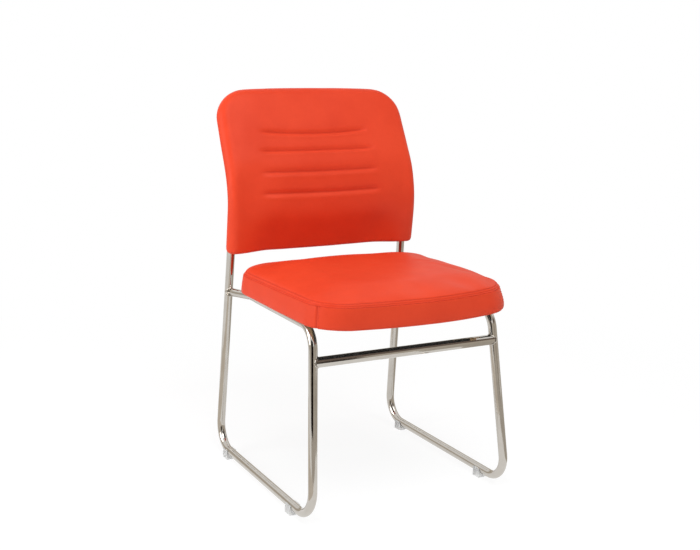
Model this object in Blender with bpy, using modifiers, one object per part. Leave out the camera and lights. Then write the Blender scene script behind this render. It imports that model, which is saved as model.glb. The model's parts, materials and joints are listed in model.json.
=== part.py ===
"""Visitor chair: a sled frame of bent chromed tube with an upholstered seat and back.

Metres, +Z up. The chair stands on Z = 0 and faces -Y, with the sitter's left side at +X.
"""
import math

import bmesh
import bpy
from mathutils import Vector

# Working values
CLEARANCE = 0.0003          # gap between pieces that touch
OVERRUN = 0.005             # how far a cutter runs past what it cuts
MERGE_DISTANCE = 0.00001    # points closer than this are one point
TUBE_RESOLUTION = 5         # bevel resolution of the bent tubes
BEND_STEPS = 7              # straight pieces in one bend
ROUND_STEPS = 16            # sides of small turned pieces
ROD_STEPS = 20              # sides of the crossbars
SMOOTH_ANGLE = math.radians(40)

# Side frames, at the tube's centre line
TUBE_RADIUS = 0.0095
RUNNER_CLEAR = 0.0085       # runner's underside above the floor
REAR_BEND_INSET = 0.006     # inside the seat's half width
REAR_BEND_Y = 0.254
FRONT_BEND_INSET = 0.004
FRONT_BEND_Y = -0.254
RAIL_FRONT_INSET = 0.026
FRONT_TOP_Y = -0.202
RAIL_HEIGHT = 0.405
RAIL_REAR_INSET = 0.029
RAIL_REAR_Y = 0.115
RAIL_WELD_DROP = 0.008      # the rail's welded end lies this much lower
RAIL_END_RADIUS = 0.0093    # swaged end of the rail
RAIL_SPLICE = 0.030         # swaged length before the last bend
UPRIGHT_BEND_INSET = 0.020  # inside the back's half width
BACK_BEND_Y = 0.1862
BACK_BEND_HEIGHT = 0.635
BACK_LEAN = math.radians(26.5)
UPRIGHT_TOP_INSET = 0.0235
UPRIGHT_TOP_MARGIN = 0.0694 # upright's end below the back pad's upper edge
FLOOR_BEND_RADIUS = 0.055
TOP_BEND_RADIUS = 0.050
RAIL_BEND_RADIUS = 0.040
BACK_BEND_RADIUS = 0.200

# Crossbars
BAR_RADIUS = 0.011
BAR_HEIGHT = 0.337
BAR_END_SHARE = 0.35        # of the tube's radius, from the leg's centre to the bar's end
TIE_RADIUS = 0.008
TIE_Y = 0.045

# Seat
SEAT_FRONT_Y = -0.305
SEAT_REAR_Y = 0.169
SEAT_HALF_WIDTH = 0.241
SEAT_FRONT_NARROWING = 0.004
SEAT_FRONT_BOW = 0.030
SEAT_REAR_BOW = 0.006
SEAT_FRONT_CORNER = 0.078
SEAT_REAR_CORNER = 0.075
SEAT_SEAM_HEIGHT = 0.051    # seam above the pad's underside
SEAT_SEAM_INSET = 0.006
SEAT_SEAM_DEPTH = 0.0015    # how far the seam draws in
SEAT_EDGE_ROUND = 0.004
SEAT_CROWN = 0.016
SEAT_CORNER_STEPS = 6
SEAT_SIDE_STEPS = 5
SEAT_BORDER_SHARES = (0.10, 0.30, 0.55, 0.80)
SEAT_DOME_SHARES = (0.98, 0.95, 0.90, 0.80, 0.64, 0.44, 0.22)
SEAT_DOME_POWER = 6

# Seat board, cover and hardware
BOARD_THICKNESS = 0.012
BOARD_INSET = 0.009
DUST_THICKNESS = 0.001
DUST_MARGIN = 0.002
DUST_END_INSET = 0.014
TAB_LENGTH = 0.036
TAB_WIDTH = 0.030
TAB_THICKNESS = 0.003
TAB_HOLE_FROM_RAIL = 0.024
TAB_FRONT_Y = -0.140
TAB_REAR_Y = 0.090
SCREW_RADIUS = 0.003
SCREW_HEAD_RADIUS = 0.006
SCREW_HEAD_HEIGHT = 0.0035
SCREW_GRIP = 0.008          # thread engaged in the nut
NUT_FLANGE_RADIUS = 0.008
NUT_FLANGE_THICKNESS = 0.0015
NUT_BARREL_RADIUS = 0.0048
NUT_BORE_RADIUS = 0.0034
NUT_LENGTH = 0.0085

# Glides
GLIDE_REAR_Y = 0.192
GLIDE_FRONT_Y = -0.158
GLIDE_LENGTH = 0.024
GLIDE_WALL = 0.0025
GLIDE_ARM_RISE = 0.004      # clip arms above the runner's centre
GLIDE_ROUND = 0.0015

# Upright plugs
PLUG_THICKNESS = 0.003
PLUG_ROUND = 0.001

# Back, measured along the uprights' centre line from the pad's lower edge
BACK_BOTTOM_HEIGHT = 0.492
BACK_LENGTH = 0.380
BACK_HALF_WIDTH = 0.2425
BACK_TAPER = 0.006
BACK_RIM_FRONT = 0.036      # rim ahead of the uprights' centre line
BACK_MIDDLE_FRONT = 0.037
BACK_LUMBAR_RISE = 0.006
BACK_LUMBAR_PLACE = 0.125
BACK_LUMBAR_SPREAD = 0.055
BACK_HOLLOW = 0.014         # middle set back near the lower edge
BACK_HOLLOW_END = 0.095
BACK_MIDDLE_INNER = 0.120
BACK_MIDDLE_OUTER = 0.212
BACK_RIM_RADIUS = 0.020
BACK_TOP_CORNER = 0.074
BACK_TOP_ARCH = 0.005       # the top edge falls this much to its corners
BACK_TOP_ARCH_POWER = 6
BACK_BOTTOM_CORNER = 0.008
BACK_CREST_RADIUS = 0.022
BACK_LOWER_ROUND = 0.011
BACK_SPLIT = 0.0015         # split plane behind the uprights' surface
BACK_WRAP = 0.002           # cover over the uprights' outer sides
BACK_CORE_INSET = 0.004     # pocket's edge inside the uprights' centre lines
BACK_PANEL_THICKNESS = 0.005
BACK_PANEL_ROUND = 0.0025
BACK_COLUMN_SHARES = (0.0, 0.24, 0.46, 0.62, 0.74, 0.88, 1.0)
BACK_RIM_STEPS = 3
BACK_WRAP_STEPS = 2
BACK_CREST_SHARES = (0.76, 0.53, 0.33, 0.16, 0.05, 0.0)
BACK_LOWER_SHARES = (0.0, 0.12, 0.40, 1.0)
BACK_PLAIN_SHARES = (0.08, 0.13, 0.19, 0.25, 0.405)
BACK_UPPER_SHARE = 0.80

# Channels pressed across the back's face
CHANNEL_LOWEST = 0.129
CHANNEL_PITCH = 0.0497
CHANNEL_HALF_LENGTHS = (0.160, 0.157, 0.155, 0.142)
CHANNEL_DEPTH = 0.004
CHANNEL_HALF_WIDTH = 0.010
CHANNEL_FADE = 0.020
CHANNEL_ROW_SHARES = (-1.1, -0.5, 0.0, 0.5, 1.1)
CHANNEL_BOW = 0.005         # the highest channel sags in its middle
CHANNEL_BOW_SPREAD = 0.030
CHANNEL_TRIAL_STEPS = 200   # small steps up the back that measure one pitch

# Back board and its hardware
BACK_BOARD_THICKNESS = 0.010
BACK_BOARD_LOWER_MARGIN = 0.020
BACK_BOARD_UPPER_MARGIN = 0.042
BACK_SCREW_LOW_MARGIN = 0.030   # inside the board's lower edge
BACK_SCREW_HIGH_MARGIN = 0.053  # inside the board's upper edge
BACK_SCREW_SINK = 0.003
BACK_SCREW_CONE = 0.003
BACK_SCREW_GRIP = 0.007

# Materials: red, green and blue, then metallic, then roughness
CHROME_LOOK = ((0.78, 0.77, 0.75), 1.0, 0.07)
STEEL_LOOK = ((0.45, 0.45, 0.46), 1.0, 0.35)
LEATHER_LOOK = ((0.82, 0.075, 0.03), 0.0, 0.48)
PLYWOOD_LOOK = ((0.55, 0.38, 0.22), 0.0, 0.65)
CLOTH_LOOK = ((0.02, 0.02, 0.022), 0.0, 0.9)
GLIDE_LOOK = ((0.80, 0.80, 0.78), 0.0, 0.30)
PLUG_LOOK = ((0.03, 0.03, 0.03), 0.0, 0.5)

RUNNER_HEIGHT = RUNNER_CLEAR + TUBE_RADIUS
REAR_BEND_X = SEAT_HALF_WIDTH - REAR_BEND_INSET
FRONT_BEND_X = SEAT_HALF_WIDTH - FRONT_BEND_INSET
FRONT_TOP_X = SEAT_HALF_WIDTH - RAIL_FRONT_INSET
RAIL_REAR_X = SEAT_HALF_WIDTH - RAIL_REAR_INSET
BACK_BEND_X = BACK_HALF_WIDTH - UPRIGHT_BEND_INSET
UPRIGHT_TOP_X = BACK_HALF_WIDTH - UPRIGHT_TOP_INSET
SEAT_BASE = RAIL_HEIGHT + TUBE_RADIUS + CLEARANCE
SIDES = {"left": 1, "right": -1}
UP = Vector((0, 0, 1))


def clear_scene():
    """Removes whatever the scene starts with."""
    for thing in list(bpy.data.objects):
        bpy.data.objects.remove(thing, do_unlink=True)


def new_collection(name):
    """Returns a new collection linked to the scene."""
    group = bpy.data.collections.new(name)
    bpy.context.scene.collection.children.link(group)
    return group


def material(name, look):
    """Returns the Principled material of that name, made once."""
    found = bpy.data.materials.get(name)
    if found:
        return found
    made = bpy.data.materials.new(name)
    made.use_nodes = True
    shader = made.node_tree.nodes["Principled BSDF"]
    colour, metallic, roughness = look
    shader.inputs["Base Color"].default_value = (*colour, 1.0)
    shader.inputs["Metallic"].default_value = metallic
    shader.inputs["Roughness"].default_value = roughness
    return made


def place(name, mesh, group):
    """Adds a mesh to the scene as an object in the given collection."""
    thing = bpy.data.objects.new(name, mesh)
    group.objects.link(thing)
    return thing


def as_cutter(thing):
    """Marks an object as a tool that isn't a piece of the chair."""
    thing.hide_render = True
    thing.display_type = "WIRE"
    return thing


def finish_piece(thing, look_name, look):
    """Gives a piece its material and smooth shading."""
    thing.data.materials.clear()
    thing.data.materials.append(material(look_name, look))
    thing.data.shade_smooth()
    thing.data.set_sharp_from_angle(angle=SMOOTH_ANGLE)
    return thing


def cut(thing, cutter, operation="DIFFERENCE"):
    """Cuts or joins a piece with another mesh."""
    step = thing.modifiers.new(operation.title(), "BOOLEAN")
    step.operation = operation
    step.solver = "EXACT"
    step.object = cutter


def fillet_path(corners, radii):
    """Returns a path's points, with each inner corner rounded by an arc."""
    points = [corners[0]]
    for before, corner, after, radius in zip(corners, corners[1:], corners[2:], radii):
        back_way = (before - corner).normalized()
        next_way = (after - corner).normalized()
        half = back_way.angle(next_way) / 2
        reach = radius / math.tan(half)
        centre = corner + (back_way + next_way).normalized() * (radius / math.sin(half))
        first = corner + back_way * reach - centre
        last = corner + next_way * reach - centre
        sweep = math.pi - half - half
        for step in range(BEND_STEPS + 1):
            angle = sweep * step / BEND_STEPS
            arm = first * math.sin(sweep - angle) + last * math.sin(angle)
            points.append(centre + arm / math.sin(sweep))
    points.append(corners[-1])
    return points


def tube(name, points, radius, group):
    """Returns a round tube along the points as a closed mesh."""
    curve = bpy.data.curves.new(name + "_path", "CURVE")
    curve.dimensions = "3D"
    curve.bevel_depth = radius
    curve.bevel_resolution = TUBE_RESOLUTION
    curve.use_fill_caps = True
    spline = curve.splines.new("POLY")
    spline.points.add(len(points) - 1)
    for target, point in zip(spline.points, points):
        target.co = (*point, 1)
    guide = place(name + "_path", curve, group)
    bpy.context.view_layer.update()
    graph = bpy.context.evaluated_depsgraph_get()
    mesh = bpy.data.meshes.new_from_object(guide.evaluated_get(graph))
    body = bmesh.new()
    body.from_mesh(mesh)
    bmesh.ops.remove_doubles(body, verts=body.verts, dist=MERGE_DISTANCE)
    body.to_mesh(mesh)
    body.free()
    made = place(name, mesh, group)
    made.matrix_world = guide.matrix_world
    bpy.data.objects.remove(guide, do_unlink=True)
    return made


def rod(name, start, end, radius, group):
    """Returns a straight round rod between two points."""
    way = end - start
    bpy.ops.mesh.primitive_cylinder_add(vertices=ROD_STEPS, radius=radius, depth=way.length)
    made = bpy.context.object
    made.name = name
    made.location = (start + end) / 2
    made.rotation_mode = "QUATERNION"
    made.rotation_quaternion = UP.rotation_difference(way)
    for owner in list(made.users_collection):
        owner.objects.unlink(made)
    group.objects.link(made)
    return made


def turned(name, profile, closed, group, place_at, way):
    """Returns a turned piece: its profile's radius and height pairs run down its outer side."""
    body = bmesh.new()
    points = [body.verts.new((radius, 0, height)) for radius, height in profile]
    for first, second in zip(points, points[1:]):
        body.edges.new((first, second))
    if closed:
        body.edges.new((points[-1], points[0]))
    mesh = bpy.data.meshes.new(name)
    body.to_mesh(mesh)
    body.free()
    made = place(name, mesh, group)
    spin = made.modifiers.new("Turn", "SCREW")
    spin.axis = "Z"
    spin.steps = ROUND_STEPS
    spin.render_steps = ROUND_STEPS
    spin.use_merge_vertices = True
    spin.merge_threshold = MERGE_DISTANCE
    made.location = place_at
    made.rotation_mode = "QUATERNION"
    made.rotation_quaternion = UP.rotation_difference(way)
    return made


def plate(name, outline, low, thickness, group):
    """Returns a flat plate with the outline's shape, from its lower face's height."""
    curve = bpy.data.curves.new(name + "_outline", "CURVE")
    curve.dimensions = "2D"
    curve.fill_mode = "BOTH"
    curve.extrude = thickness / 2
    spline = curve.splines.new("POLY")
    spline.points.add(len(outline) - 1)
    for target, point in zip(spline.points, outline):
        target.co = (point[0], point[1], 0, 1)
    spline.use_cyclic_u = True
    guide = place(name + "_outline", curve, group)
    guide.location = (0, 0, low + thickness / 2)
    bpy.context.view_layer.update()
    graph = bpy.context.evaluated_depsgraph_get()
    mesh = bpy.data.meshes.new_from_object(guide.evaluated_get(graph))
    body = bmesh.new()
    body.from_mesh(mesh)
    bmesh.ops.remove_doubles(body, verts=body.verts, dist=MERGE_DISTANCE)
    body.to_mesh(mesh)
    body.free()
    made = place(name, mesh, group)
    made.matrix_world = guide.matrix_world
    bpy.data.objects.remove(guide, do_unlink=True)
    return made


def loft(name, sections, group):
    """Returns a closed body through closed sections, with flat ends."""
    body = bmesh.new()
    rings = [[body.verts.new(point) for point in section] for section in sections]
    count = len(sections[0])
    for lower, upper in zip(rings, rings[1:]):
        for index in range(count):
            after = (index + 1) % count
            body.faces.new((lower[index], lower[after], upper[after], upper[index]))
    body.faces.new(list(reversed(rings[0])))
    body.faces.new(rings[-1])
    if body.calc_volume(signed=True) < 0:
        bmesh.ops.reverse_faces(body, faces=body.faces)
    mesh = bpy.data.meshes.new(name)
    body.to_mesh(mesh)
    body.free()
    return place(name, mesh, group)


def round_off(distance, radius):
    """Returns how far a round edge lies inside, at a distance from its end."""
    if distance >= radius:
        return 0
    return radius - math.sqrt(radius ** 2 - (radius - distance) ** 2)


def ease(value, low, high):
    """Returns a smooth step from 0 at low to 1 at high."""
    share = min(max((value - low) / (high - low), 0), 1)
    return share * share * (3 - share - share)


def back_bend():
    """Returns the uprights' lean below their bend, and the bend's first point and place."""
    low_way = math.atan2(BACK_BEND_Y - REAR_BEND_Y, BACK_BEND_HEIGHT - RUNNER_HEIGHT)
    reach = BACK_BEND_RADIUS * math.tan((BACK_LEAN - low_way) / 2)
    first_y = BACK_BEND_Y - reach * math.sin(low_way)
    first_z = BACK_BEND_HEIGHT - reach * math.cos(low_way)
    return low_way, first_y, first_z, (first_z - BACK_BOTTOM_HEIGHT) / math.cos(low_way)


def above_bend():
    """Returns the upright's length above its bend's corner, which ends it inside the back pad."""
    low_way, first_y, first_z, straight = back_bend()
    turn = BACK_LEAN - low_way
    rest = BACK_LENGTH - UPRIGHT_TOP_MARGIN - straight - turn * BACK_BEND_RADIUS
    return rest + BACK_BEND_RADIUS * math.tan(turn / 2)


def frame_corners(side):
    """Returns the side tube's corners, from the upright's top to the rail's rear bend."""
    top_y = BACK_BEND_Y + above_bend() * math.sin(BACK_LEAN)
    top_z = BACK_BEND_HEIGHT + above_bend() * math.cos(BACK_LEAN)
    return [
        Vector((side * UPRIGHT_TOP_X, top_y, top_z)),
        Vector((side * BACK_BEND_X, BACK_BEND_Y, BACK_BEND_HEIGHT)),
        Vector((side * REAR_BEND_X, REAR_BEND_Y, RUNNER_HEIGHT)),
        Vector((side * FRONT_BEND_X, FRONT_BEND_Y, RUNNER_HEIGHT)),
        Vector((side * FRONT_TOP_X, FRONT_TOP_Y, RAIL_HEIGHT)),
        Vector((side * RAIL_REAR_X, RAIL_REAR_Y, RAIL_HEIGHT)),
    ]


def at_height(low, high, height):
    """Returns the point of the line from low to high at a height."""
    return low.lerp(high, (height - low.z) / (high.z - low.z))


def at_depth(front, rear, depth):
    """Returns the point of the line from front to rear at a depth along Y."""
    return front.lerp(rear, (depth - front.y) / (rear.y - front.y))


def rail_path(side, start):
    """Returns the swaged rail end's path, from a point of the rail into the upright."""
    corners = frame_corners(side)
    weld = at_height(corners[2], corners[1], RAIL_HEIGHT - RAIL_WELD_DROP)
    return fillet_path([start, corners[5], weld], [RAIL_BEND_RADIUS])


def side_path(side):
    """Returns the side tube's path from the upright's top to the rail's splice."""
    corners = frame_corners(side)
    along = (corners[4] - corners[5]).normalized()
    corners[5] = corners[5] + along * RAIL_SPLICE
    radii = [BACK_BEND_RADIUS, FLOOR_BEND_RADIUS, FLOOR_BEND_RADIUS, TOP_BEND_RADIUS]
    return fillet_path(corners, radii)


def make_side_frames(chair, tools):
    """Makes the two bent side tubes, each with its rail welded to its upright."""
    for word, side in SIDES.items():
        path = side_path(side)
        name = "side_frame_" + word
        frame = tube(name, path, TUBE_RADIUS, chair)
        inside = path[-1] + (path[-2] - path[-1]).normalized() * OVERRUN
        rail_end = tube("rail_end_" + word, rail_path(side, inside), RAIL_END_RADIUS, tools)
        cut(frame, as_cutter(rail_end), "UNION")
        for place_word, along in back_screw_places():
            hole = screw_body("bore_" + place_word + "_" + word, side, along, CLEARANCE, tools)
            cut(frame, as_cutter(hole))
        finish_piece(frame, "chrome", CHROME_LOOK)


def leg_cutter(name, low, high, tools):
    """Returns a rod round a straight stretch of tube, larger by the clearance."""
    return as_cutter(rod(name, low, high, TUBE_RADIUS + CLEARANCE, tools))


def make_front_crossbar(chair, tools):
    """Makes the thicker bar between the front legs, its ends shaped to the legs."""
    corners = frame_corners(SIDES["left"])
    joint = at_height(corners[3], corners[4], BAR_HEIGHT)
    end = Vector((joint.x - TUBE_RADIUS * BAR_END_SHARE, joint.y, joint.z))
    other = Vector((-end.x, end.y, end.z))
    bar = rod("front_crossbar", other, end, BAR_RADIUS, chair)
    for word, side in SIDES.items():
        corners = frame_corners(side)
        cut(bar, leg_cutter("leg_" + word, corners[3], corners[4], tools))
    finish_piece(bar, "chrome", CHROME_LOOK)


def make_rear_tie(chair, tools):
    """Makes the thin tube that ties the seat rails together under the seat."""
    corners = frame_corners(SIDES["left"])
    joint = at_depth(corners[4], corners[5], TIE_Y)
    end = Vector((joint.x - TUBE_RADIUS * BAR_END_SHARE, joint.y, joint.z))
    other = Vector((-end.x, end.y, end.z))
    bar = rod("rear_crossbar", other, end, TIE_RADIUS, chair)
    for word, side in SIDES.items():
        corners = frame_corners(side)
        cut(bar, leg_cutter("tie_rail_" + word, corners[4], corners[5], tools))
    finish_piece(bar, "chrome", CHROME_LOOK)


def seat_outline(inset):
    """Returns the seat's outline, drawn in by an inset, from the front left corner round."""
    half = SEAT_HALF_WIDTH - inset
    front = SEAT_FRONT_Y + inset
    rear = SEAT_REAR_Y - inset
    front_radius = max(SEAT_FRONT_CORNER - inset, SEAT_EDGE_ROUND)
    rear_radius = max(SEAT_REAR_CORNER - inset, SEAT_EDGE_ROUND)
    lower = []
    upper = []
    for step in range(SEAT_CORNER_STEPS + 1):
        angle = math.pi / 2 * step / SEAT_CORNER_STEPS
        less = 1 - math.sin(angle)
        more = 1 - math.cos(angle)
        lower.append((half - front_radius * less, front + front_radius * more))
        upper.append((half - rear_radius * more, rear - rear_radius * less))
    side_points = between(lower[-1], upper[0])
    half_outline = lower + side_points + upper
    front_points = between((-lower[0][0], lower[0][1]), lower[0])
    rear_points = between(upper[-1], (-upper[-1][0], upper[-1][1]))
    mirrored = [(-x, y) for x, y in reversed(half_outline)]
    outline = front_points + half_outline + rear_points + mirrored
    return [bowed(x, y, half, front, rear) for x, y in outline]


def between(first, second):
    """Returns evenly spread points strictly between two points."""
    spread = []
    for step in range(1, SEAT_SIDE_STEPS):
        share = step / SEAT_SIDE_STEPS
        spread.append(tuple(a + (b - a) * share for a, b in zip(first, second)))
    return spread


def bowed(x, y, half, front, rear):
    """Returns a point of the seat's outline with the bow of its front, rear and sides."""
    across = (x / half) ** 2
    along = (y - front) / (rear - front)
    set_back = SEAT_FRONT_BOW * across * max(1 - along - along, 0)
    rear_in = SEAT_REAR_BOW * across * max(along + along - 1, 0)
    narrower = SEAT_FRONT_NARROWING * max(1 - along - along, 0) * x / half
    return (x - narrower, y + set_back - rear_in)


def seat_ring(inset, height):
    """Returns the seat's outline at an inset and a height."""
    return [Vector((x, y, height)) for x, y in seat_outline(inset)]


def seat_sections():
    """Returns the seat pad's sections from its underside over the seam to the crown."""
    seam = SEAT_BASE + SEAT_SEAM_HEIGHT
    sections = [seat_ring(SEAT_EDGE_ROUND, SEAT_BASE)]
    for share in SEAT_BORDER_SHARES:
        height = SEAT_BASE + SEAT_SEAM_HEIGHT * share
        lower = round_off(height - SEAT_BASE, SEAT_EDGE_ROUND)
        sections.append(seat_ring(SEAT_SEAM_INSET * share * share + lower, height))
    sections.append(seat_ring(SEAT_SEAM_INSET + SEAT_SEAM_DEPTH, seam))
    top = seat_ring(SEAT_SEAM_INSET + SEAT_SEAM_DEPTH, seam)
    middle = Vector((0, (SEAT_FRONT_Y + SEAT_REAR_Y) / 2, seam))
    for share in SEAT_DOME_SHARES:
        rise = UP * SEAT_CROWN * (1 - share ** SEAT_DOME_POWER)
        sections.append([middle.lerp(point, share) + rise for point in top])
    return sections


def seat_nut_places():
    """Returns a name and the place of each seat screw in plan."""
    spots = []
    for word, side in SIDES.items():
        corners = frame_corners(side)
        for end, depth in (("front", TAB_FRONT_Y), ("rear", TAB_REAR_Y)):
            rail = at_depth(corners[4], corners[5], depth)
            spots.append((end + "_" + word, side, rail))
    return spots


def nut_profile(grown):
    """Returns a flanged nut's profile with its flange's top at 0, as a ring or a grown cutter."""
    if not grown:
        return [
            (NUT_FLANGE_RADIUS, 0),
            (NUT_FLANGE_RADIUS, -NUT_FLANGE_THICKNESS),
            (NUT_BARREL_RADIUS, -NUT_FLANGE_THICKNESS),
            (NUT_BARREL_RADIUS, -NUT_LENGTH),
            (NUT_BORE_RADIUS, -NUT_LENGTH),
            (NUT_BORE_RADIUS, 0),
        ]
    step = -NUT_FLANGE_THICKNESS - CLEARANCE
    bottom = -BOARD_THICKNESS - OVERRUN
    return [
        (0, OVERRUN),
        (NUT_FLANGE_RADIUS + CLEARANCE, OVERRUN),
        (NUT_FLANGE_RADIUS + CLEARANCE, step),
        (NUT_BARREL_RADIUS + CLEARANCE, step),
        (NUT_BARREL_RADIUS + CLEARANCE, bottom),
        (0, bottom),
    ]


def make_seat_cushion(chair, tools):
    """Makes the boxed seat pad, hollowed below for its board."""
    pad = loft("seat_cushion", seat_sections(), chair)
    outline = seat_outline(BOARD_INSET - CLEARANCE)
    depth = BOARD_THICKNESS + CLEARANCE + OVERRUN
    pocket = plate("seat_pocket", outline, SEAT_BASE - OVERRUN, depth, tools)
    cut(pad, as_cutter(pocket))
    finish_piece(pad, "leather", LEATHER_LOOK)


def make_seat_board(chair, tools):
    """Makes the plywood board in the seat pad, with stepped holes for its nuts."""
    board = plate("seat_board", seat_outline(BOARD_INSET), SEAT_BASE, BOARD_THICKNESS, chair)
    top = SEAT_BASE + BOARD_THICKNESS
    for word, side, rail in seat_nut_places():
        spot = Vector((rail.x - side * TAB_HOLE_FROM_RAIL, rail.y, top))
        hole = turned("board_hole_" + word, nut_profile(True), False, tools, spot, UP)
        cut(board, as_cutter(hole))
        nut = turned("seat_nut_" + word, nut_profile(False), True, chair, spot, UP)
        finish_piece(nut, "steel", STEEL_LOOK)
    finish_piece(board, "plywood", PLYWOOD_LOOK)


def make_dust_cover(chair, tools):
    """Makes the thin black cloth under the board, between the rails."""
    half = RAIL_REAR_X - TUBE_RADIUS - DUST_MARGIN
    low = SEAT_BASE - CLEARANCE - DUST_THICKNESS
    points = [(min(max(x, -half), half), y) for x, y in seat_outline(DUST_END_INSET)]
    outline = [here for here, after in zip(points, points[1:] + points[:1])
               if abs(here[0]) < half or abs(after[1] - here[1]) > MERGE_DISTANCE]
    cover = plate("seat_dust_cover", outline, low, DUST_THICKNESS, chair)
    for word, side, rail in seat_nut_places():
        spot = Vector((rail.x - side * TAB_HOLE_FROM_RAIL, rail.y, low))
        hole = screw_hole("cover_hole_" + word, spot, tools)
        cut(cover, hole)
    finish_piece(cover, "black_cloth", CLOTH_LOOK)


def screw_hole(name, spot, tools):
    """Returns an upright rod that cuts a hole for a screw's shank."""
    radius = SCREW_RADIUS + CLEARANCE
    return as_cutter(rod(name, spot - UP * OVERRUN, spot + UP * OVERRUN, radius, tools))


def make_seat_tabs(chair, tools):
    """Makes the four steel tabs on the rails and the screws through them."""
    top = SEAT_BASE - CLEARANCE - DUST_THICKNESS - CLEARANCE
    low = top - TAB_THICKNESS
    for word, side, rail in seat_nut_places():
        inner = rail.x - side * TAB_LENGTH
        half = TAB_WIDTH / 2
        outline = [(inner, rail.y - half), (rail.x, rail.y - half),
                   (rail.x, rail.y + half), (inner, rail.y + half)]
        tab = plate("seat_tab_" + word, outline, low, TAB_THICKNESS, chair)
        corners = frame_corners(side)
        cut(tab, leg_cutter("tab_rail_" + word, corners[4], corners[5], tools))
        spot = Vector((rail.x - side * TAB_HOLE_FROM_RAIL, rail.y, low))
        cut(tab, screw_hole("tab_hole_" + word, spot, tools))
        finish_piece(tab, "chrome", CHROME_LOOK)
        head_top = low - CLEARANCE
        tip = SEAT_BASE + BOARD_THICKNESS - NUT_LENGTH + SCREW_GRIP - head_top
        profile = [
            (0, tip),
            (SCREW_RADIUS, tip),
            (SCREW_RADIUS, 0),
            (SCREW_HEAD_RADIUS, 0),
            (SCREW_HEAD_RADIUS, -SCREW_HEAD_HEIGHT / 2),
            (SCREW_RADIUS, -SCREW_HEAD_HEIGHT),
            (0, -SCREW_HEAD_HEIGHT),
        ]
        place_at = Vector((spot.x, spot.y, head_top))
        screw = turned("seat_screw_" + word, profile, False, chair, place_at, UP)
        finish_piece(screw, "steel", STEEL_LOOK)


def make_glides(chair, tools):
    """Makes the four clear glides that clip round the runners."""
    height = RUNNER_HEIGHT + GLIDE_ARM_RISE
    width = (TUBE_RADIUS + CLEARANCE + GLIDE_WALL) * 2
    for word, side in SIDES.items():
        corners = frame_corners(side)
        runner = as_cutter(tube("runner_" + word, side_path(side), TUBE_RADIUS + CLEARANCE, tools))
        for end, depth in (("front", GLIDE_FRONT_Y), ("rear", GLIDE_REAR_Y)):
            spot = at_depth(corners[3], corners[2], depth)
            body = bmesh.new()
            bmesh.ops.create_cube(body, size=1.0)
            bmesh.ops.scale(body, vec=(width, GLIDE_LENGTH, height), verts=body.verts)
            mesh = bpy.data.meshes.new("glide")
            body.to_mesh(mesh)
            body.free()
            glide = place("glide_" + end + "_" + word, mesh, chair)
            glide.location = (spot.x, spot.y, height / 2)
            edge = glide.modifiers.new("Round", "BEVEL")
            edge.width = GLIDE_ROUND
            edge.segments = 1
            cut(glide, runner)
            finish_piece(glide, "clear_plastic", GLIDE_LOOK)


def spine(along):
    """Returns depth, height and lean of the uprights' centre line at a distance up the back."""
    low_way, first_y, first_z, straight = back_bend()
    if along <= straight:
        rest = along - straight
        return first_y + rest * math.sin(low_way), first_z + rest * math.cos(low_way), low_way
    lean = min(low_way + (along - straight) / BACK_BEND_RADIUS, BACK_LEAN)
    y = first_y + BACK_BEND_RADIUS * (math.cos(low_way) - math.cos(lean))
    z = first_z + BACK_BEND_RADIUS * (math.sin(lean) - math.sin(low_way))
    rest = max(along - straight - (BACK_LEAN - low_way) * BACK_BEND_RADIUS, 0)
    return y + rest * math.sin(lean), z + rest * math.cos(lean), lean


def on_back(x, along, behind):
    """Returns the point beside and behind the uprights' centre line, that far up the back."""
    y, z, lean = spine(along)
    return Vector((x, y + behind * math.cos(lean), z - behind * math.sin(lean)))


def back_way(along):
    """Returns the direction square to the uprights, to the rear, that far up the back."""
    lean = spine(along)[2]
    return Vector((0, math.cos(lean), -math.sin(lean)))


def upright_x(along):
    """Returns how far the upright's centre lies from the middle, that far up the back."""
    height = spine(along)[1]
    if height < BACK_BEND_HEIGHT:
        share = (height - RUNNER_HEIGHT) / (BACK_BEND_HEIGHT - RUNNER_HEIGHT)
        return REAR_BEND_X + (BACK_BEND_X - REAR_BEND_X) * share
    top = BACK_BEND_HEIGHT + above_bend() * math.cos(BACK_LEAN)
    share = (height - BACK_BEND_HEIGHT) / (top - BACK_BEND_HEIGHT)
    return BACK_BEND_X + (UPRIGHT_TOP_X - BACK_BEND_X) * share


def channel_places():
    """Returns each channel's distance up the back, evenly spaced along the curved face."""
    places = [CHANNEL_LOWEST]
    while len(places) < len(CHANNEL_HALF_LENGTHS):
        left, along = CHANNEL_PITCH, places[-1]
        step = CHANNEL_PITCH / CHANNEL_TRIAL_STEPS
        while left > 0:
            left -= (on_back(0, along + step, -BACK_MIDDLE_FRONT)
                     - on_back(0, along, -BACK_MIDDLE_FRONT)).length
            along += step
        places.append(along)
    return places


def back_half_width(along):
    """Returns the back pad's half width, that far up."""
    half = BACK_HALF_WIDTH - BACK_TAPER * (along / BACK_LENGTH) ** 2
    half -= round_off(BACK_LENGTH - along, BACK_TOP_CORNER)
    return half - round_off(along, BACK_BOTTOM_CORNER)


def channel_depth(x, along, places):
    """Returns how deep the channels press the face in at a point."""
    depth = 0
    for centre, half_length in zip(places, CHANNEL_HALF_LENGTHS):
        off = abs(along - centre)
        if off < CHANNEL_HALF_WIDTH:
            shape = (1 + math.cos(math.pi * off / CHANNEL_HALF_WIDTH)) / 2
            ends = 1 - ease(abs(x), half_length - CHANNEL_FADE, half_length)
            depth += CHANNEL_DEPTH * shape * ends
    return depth


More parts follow.
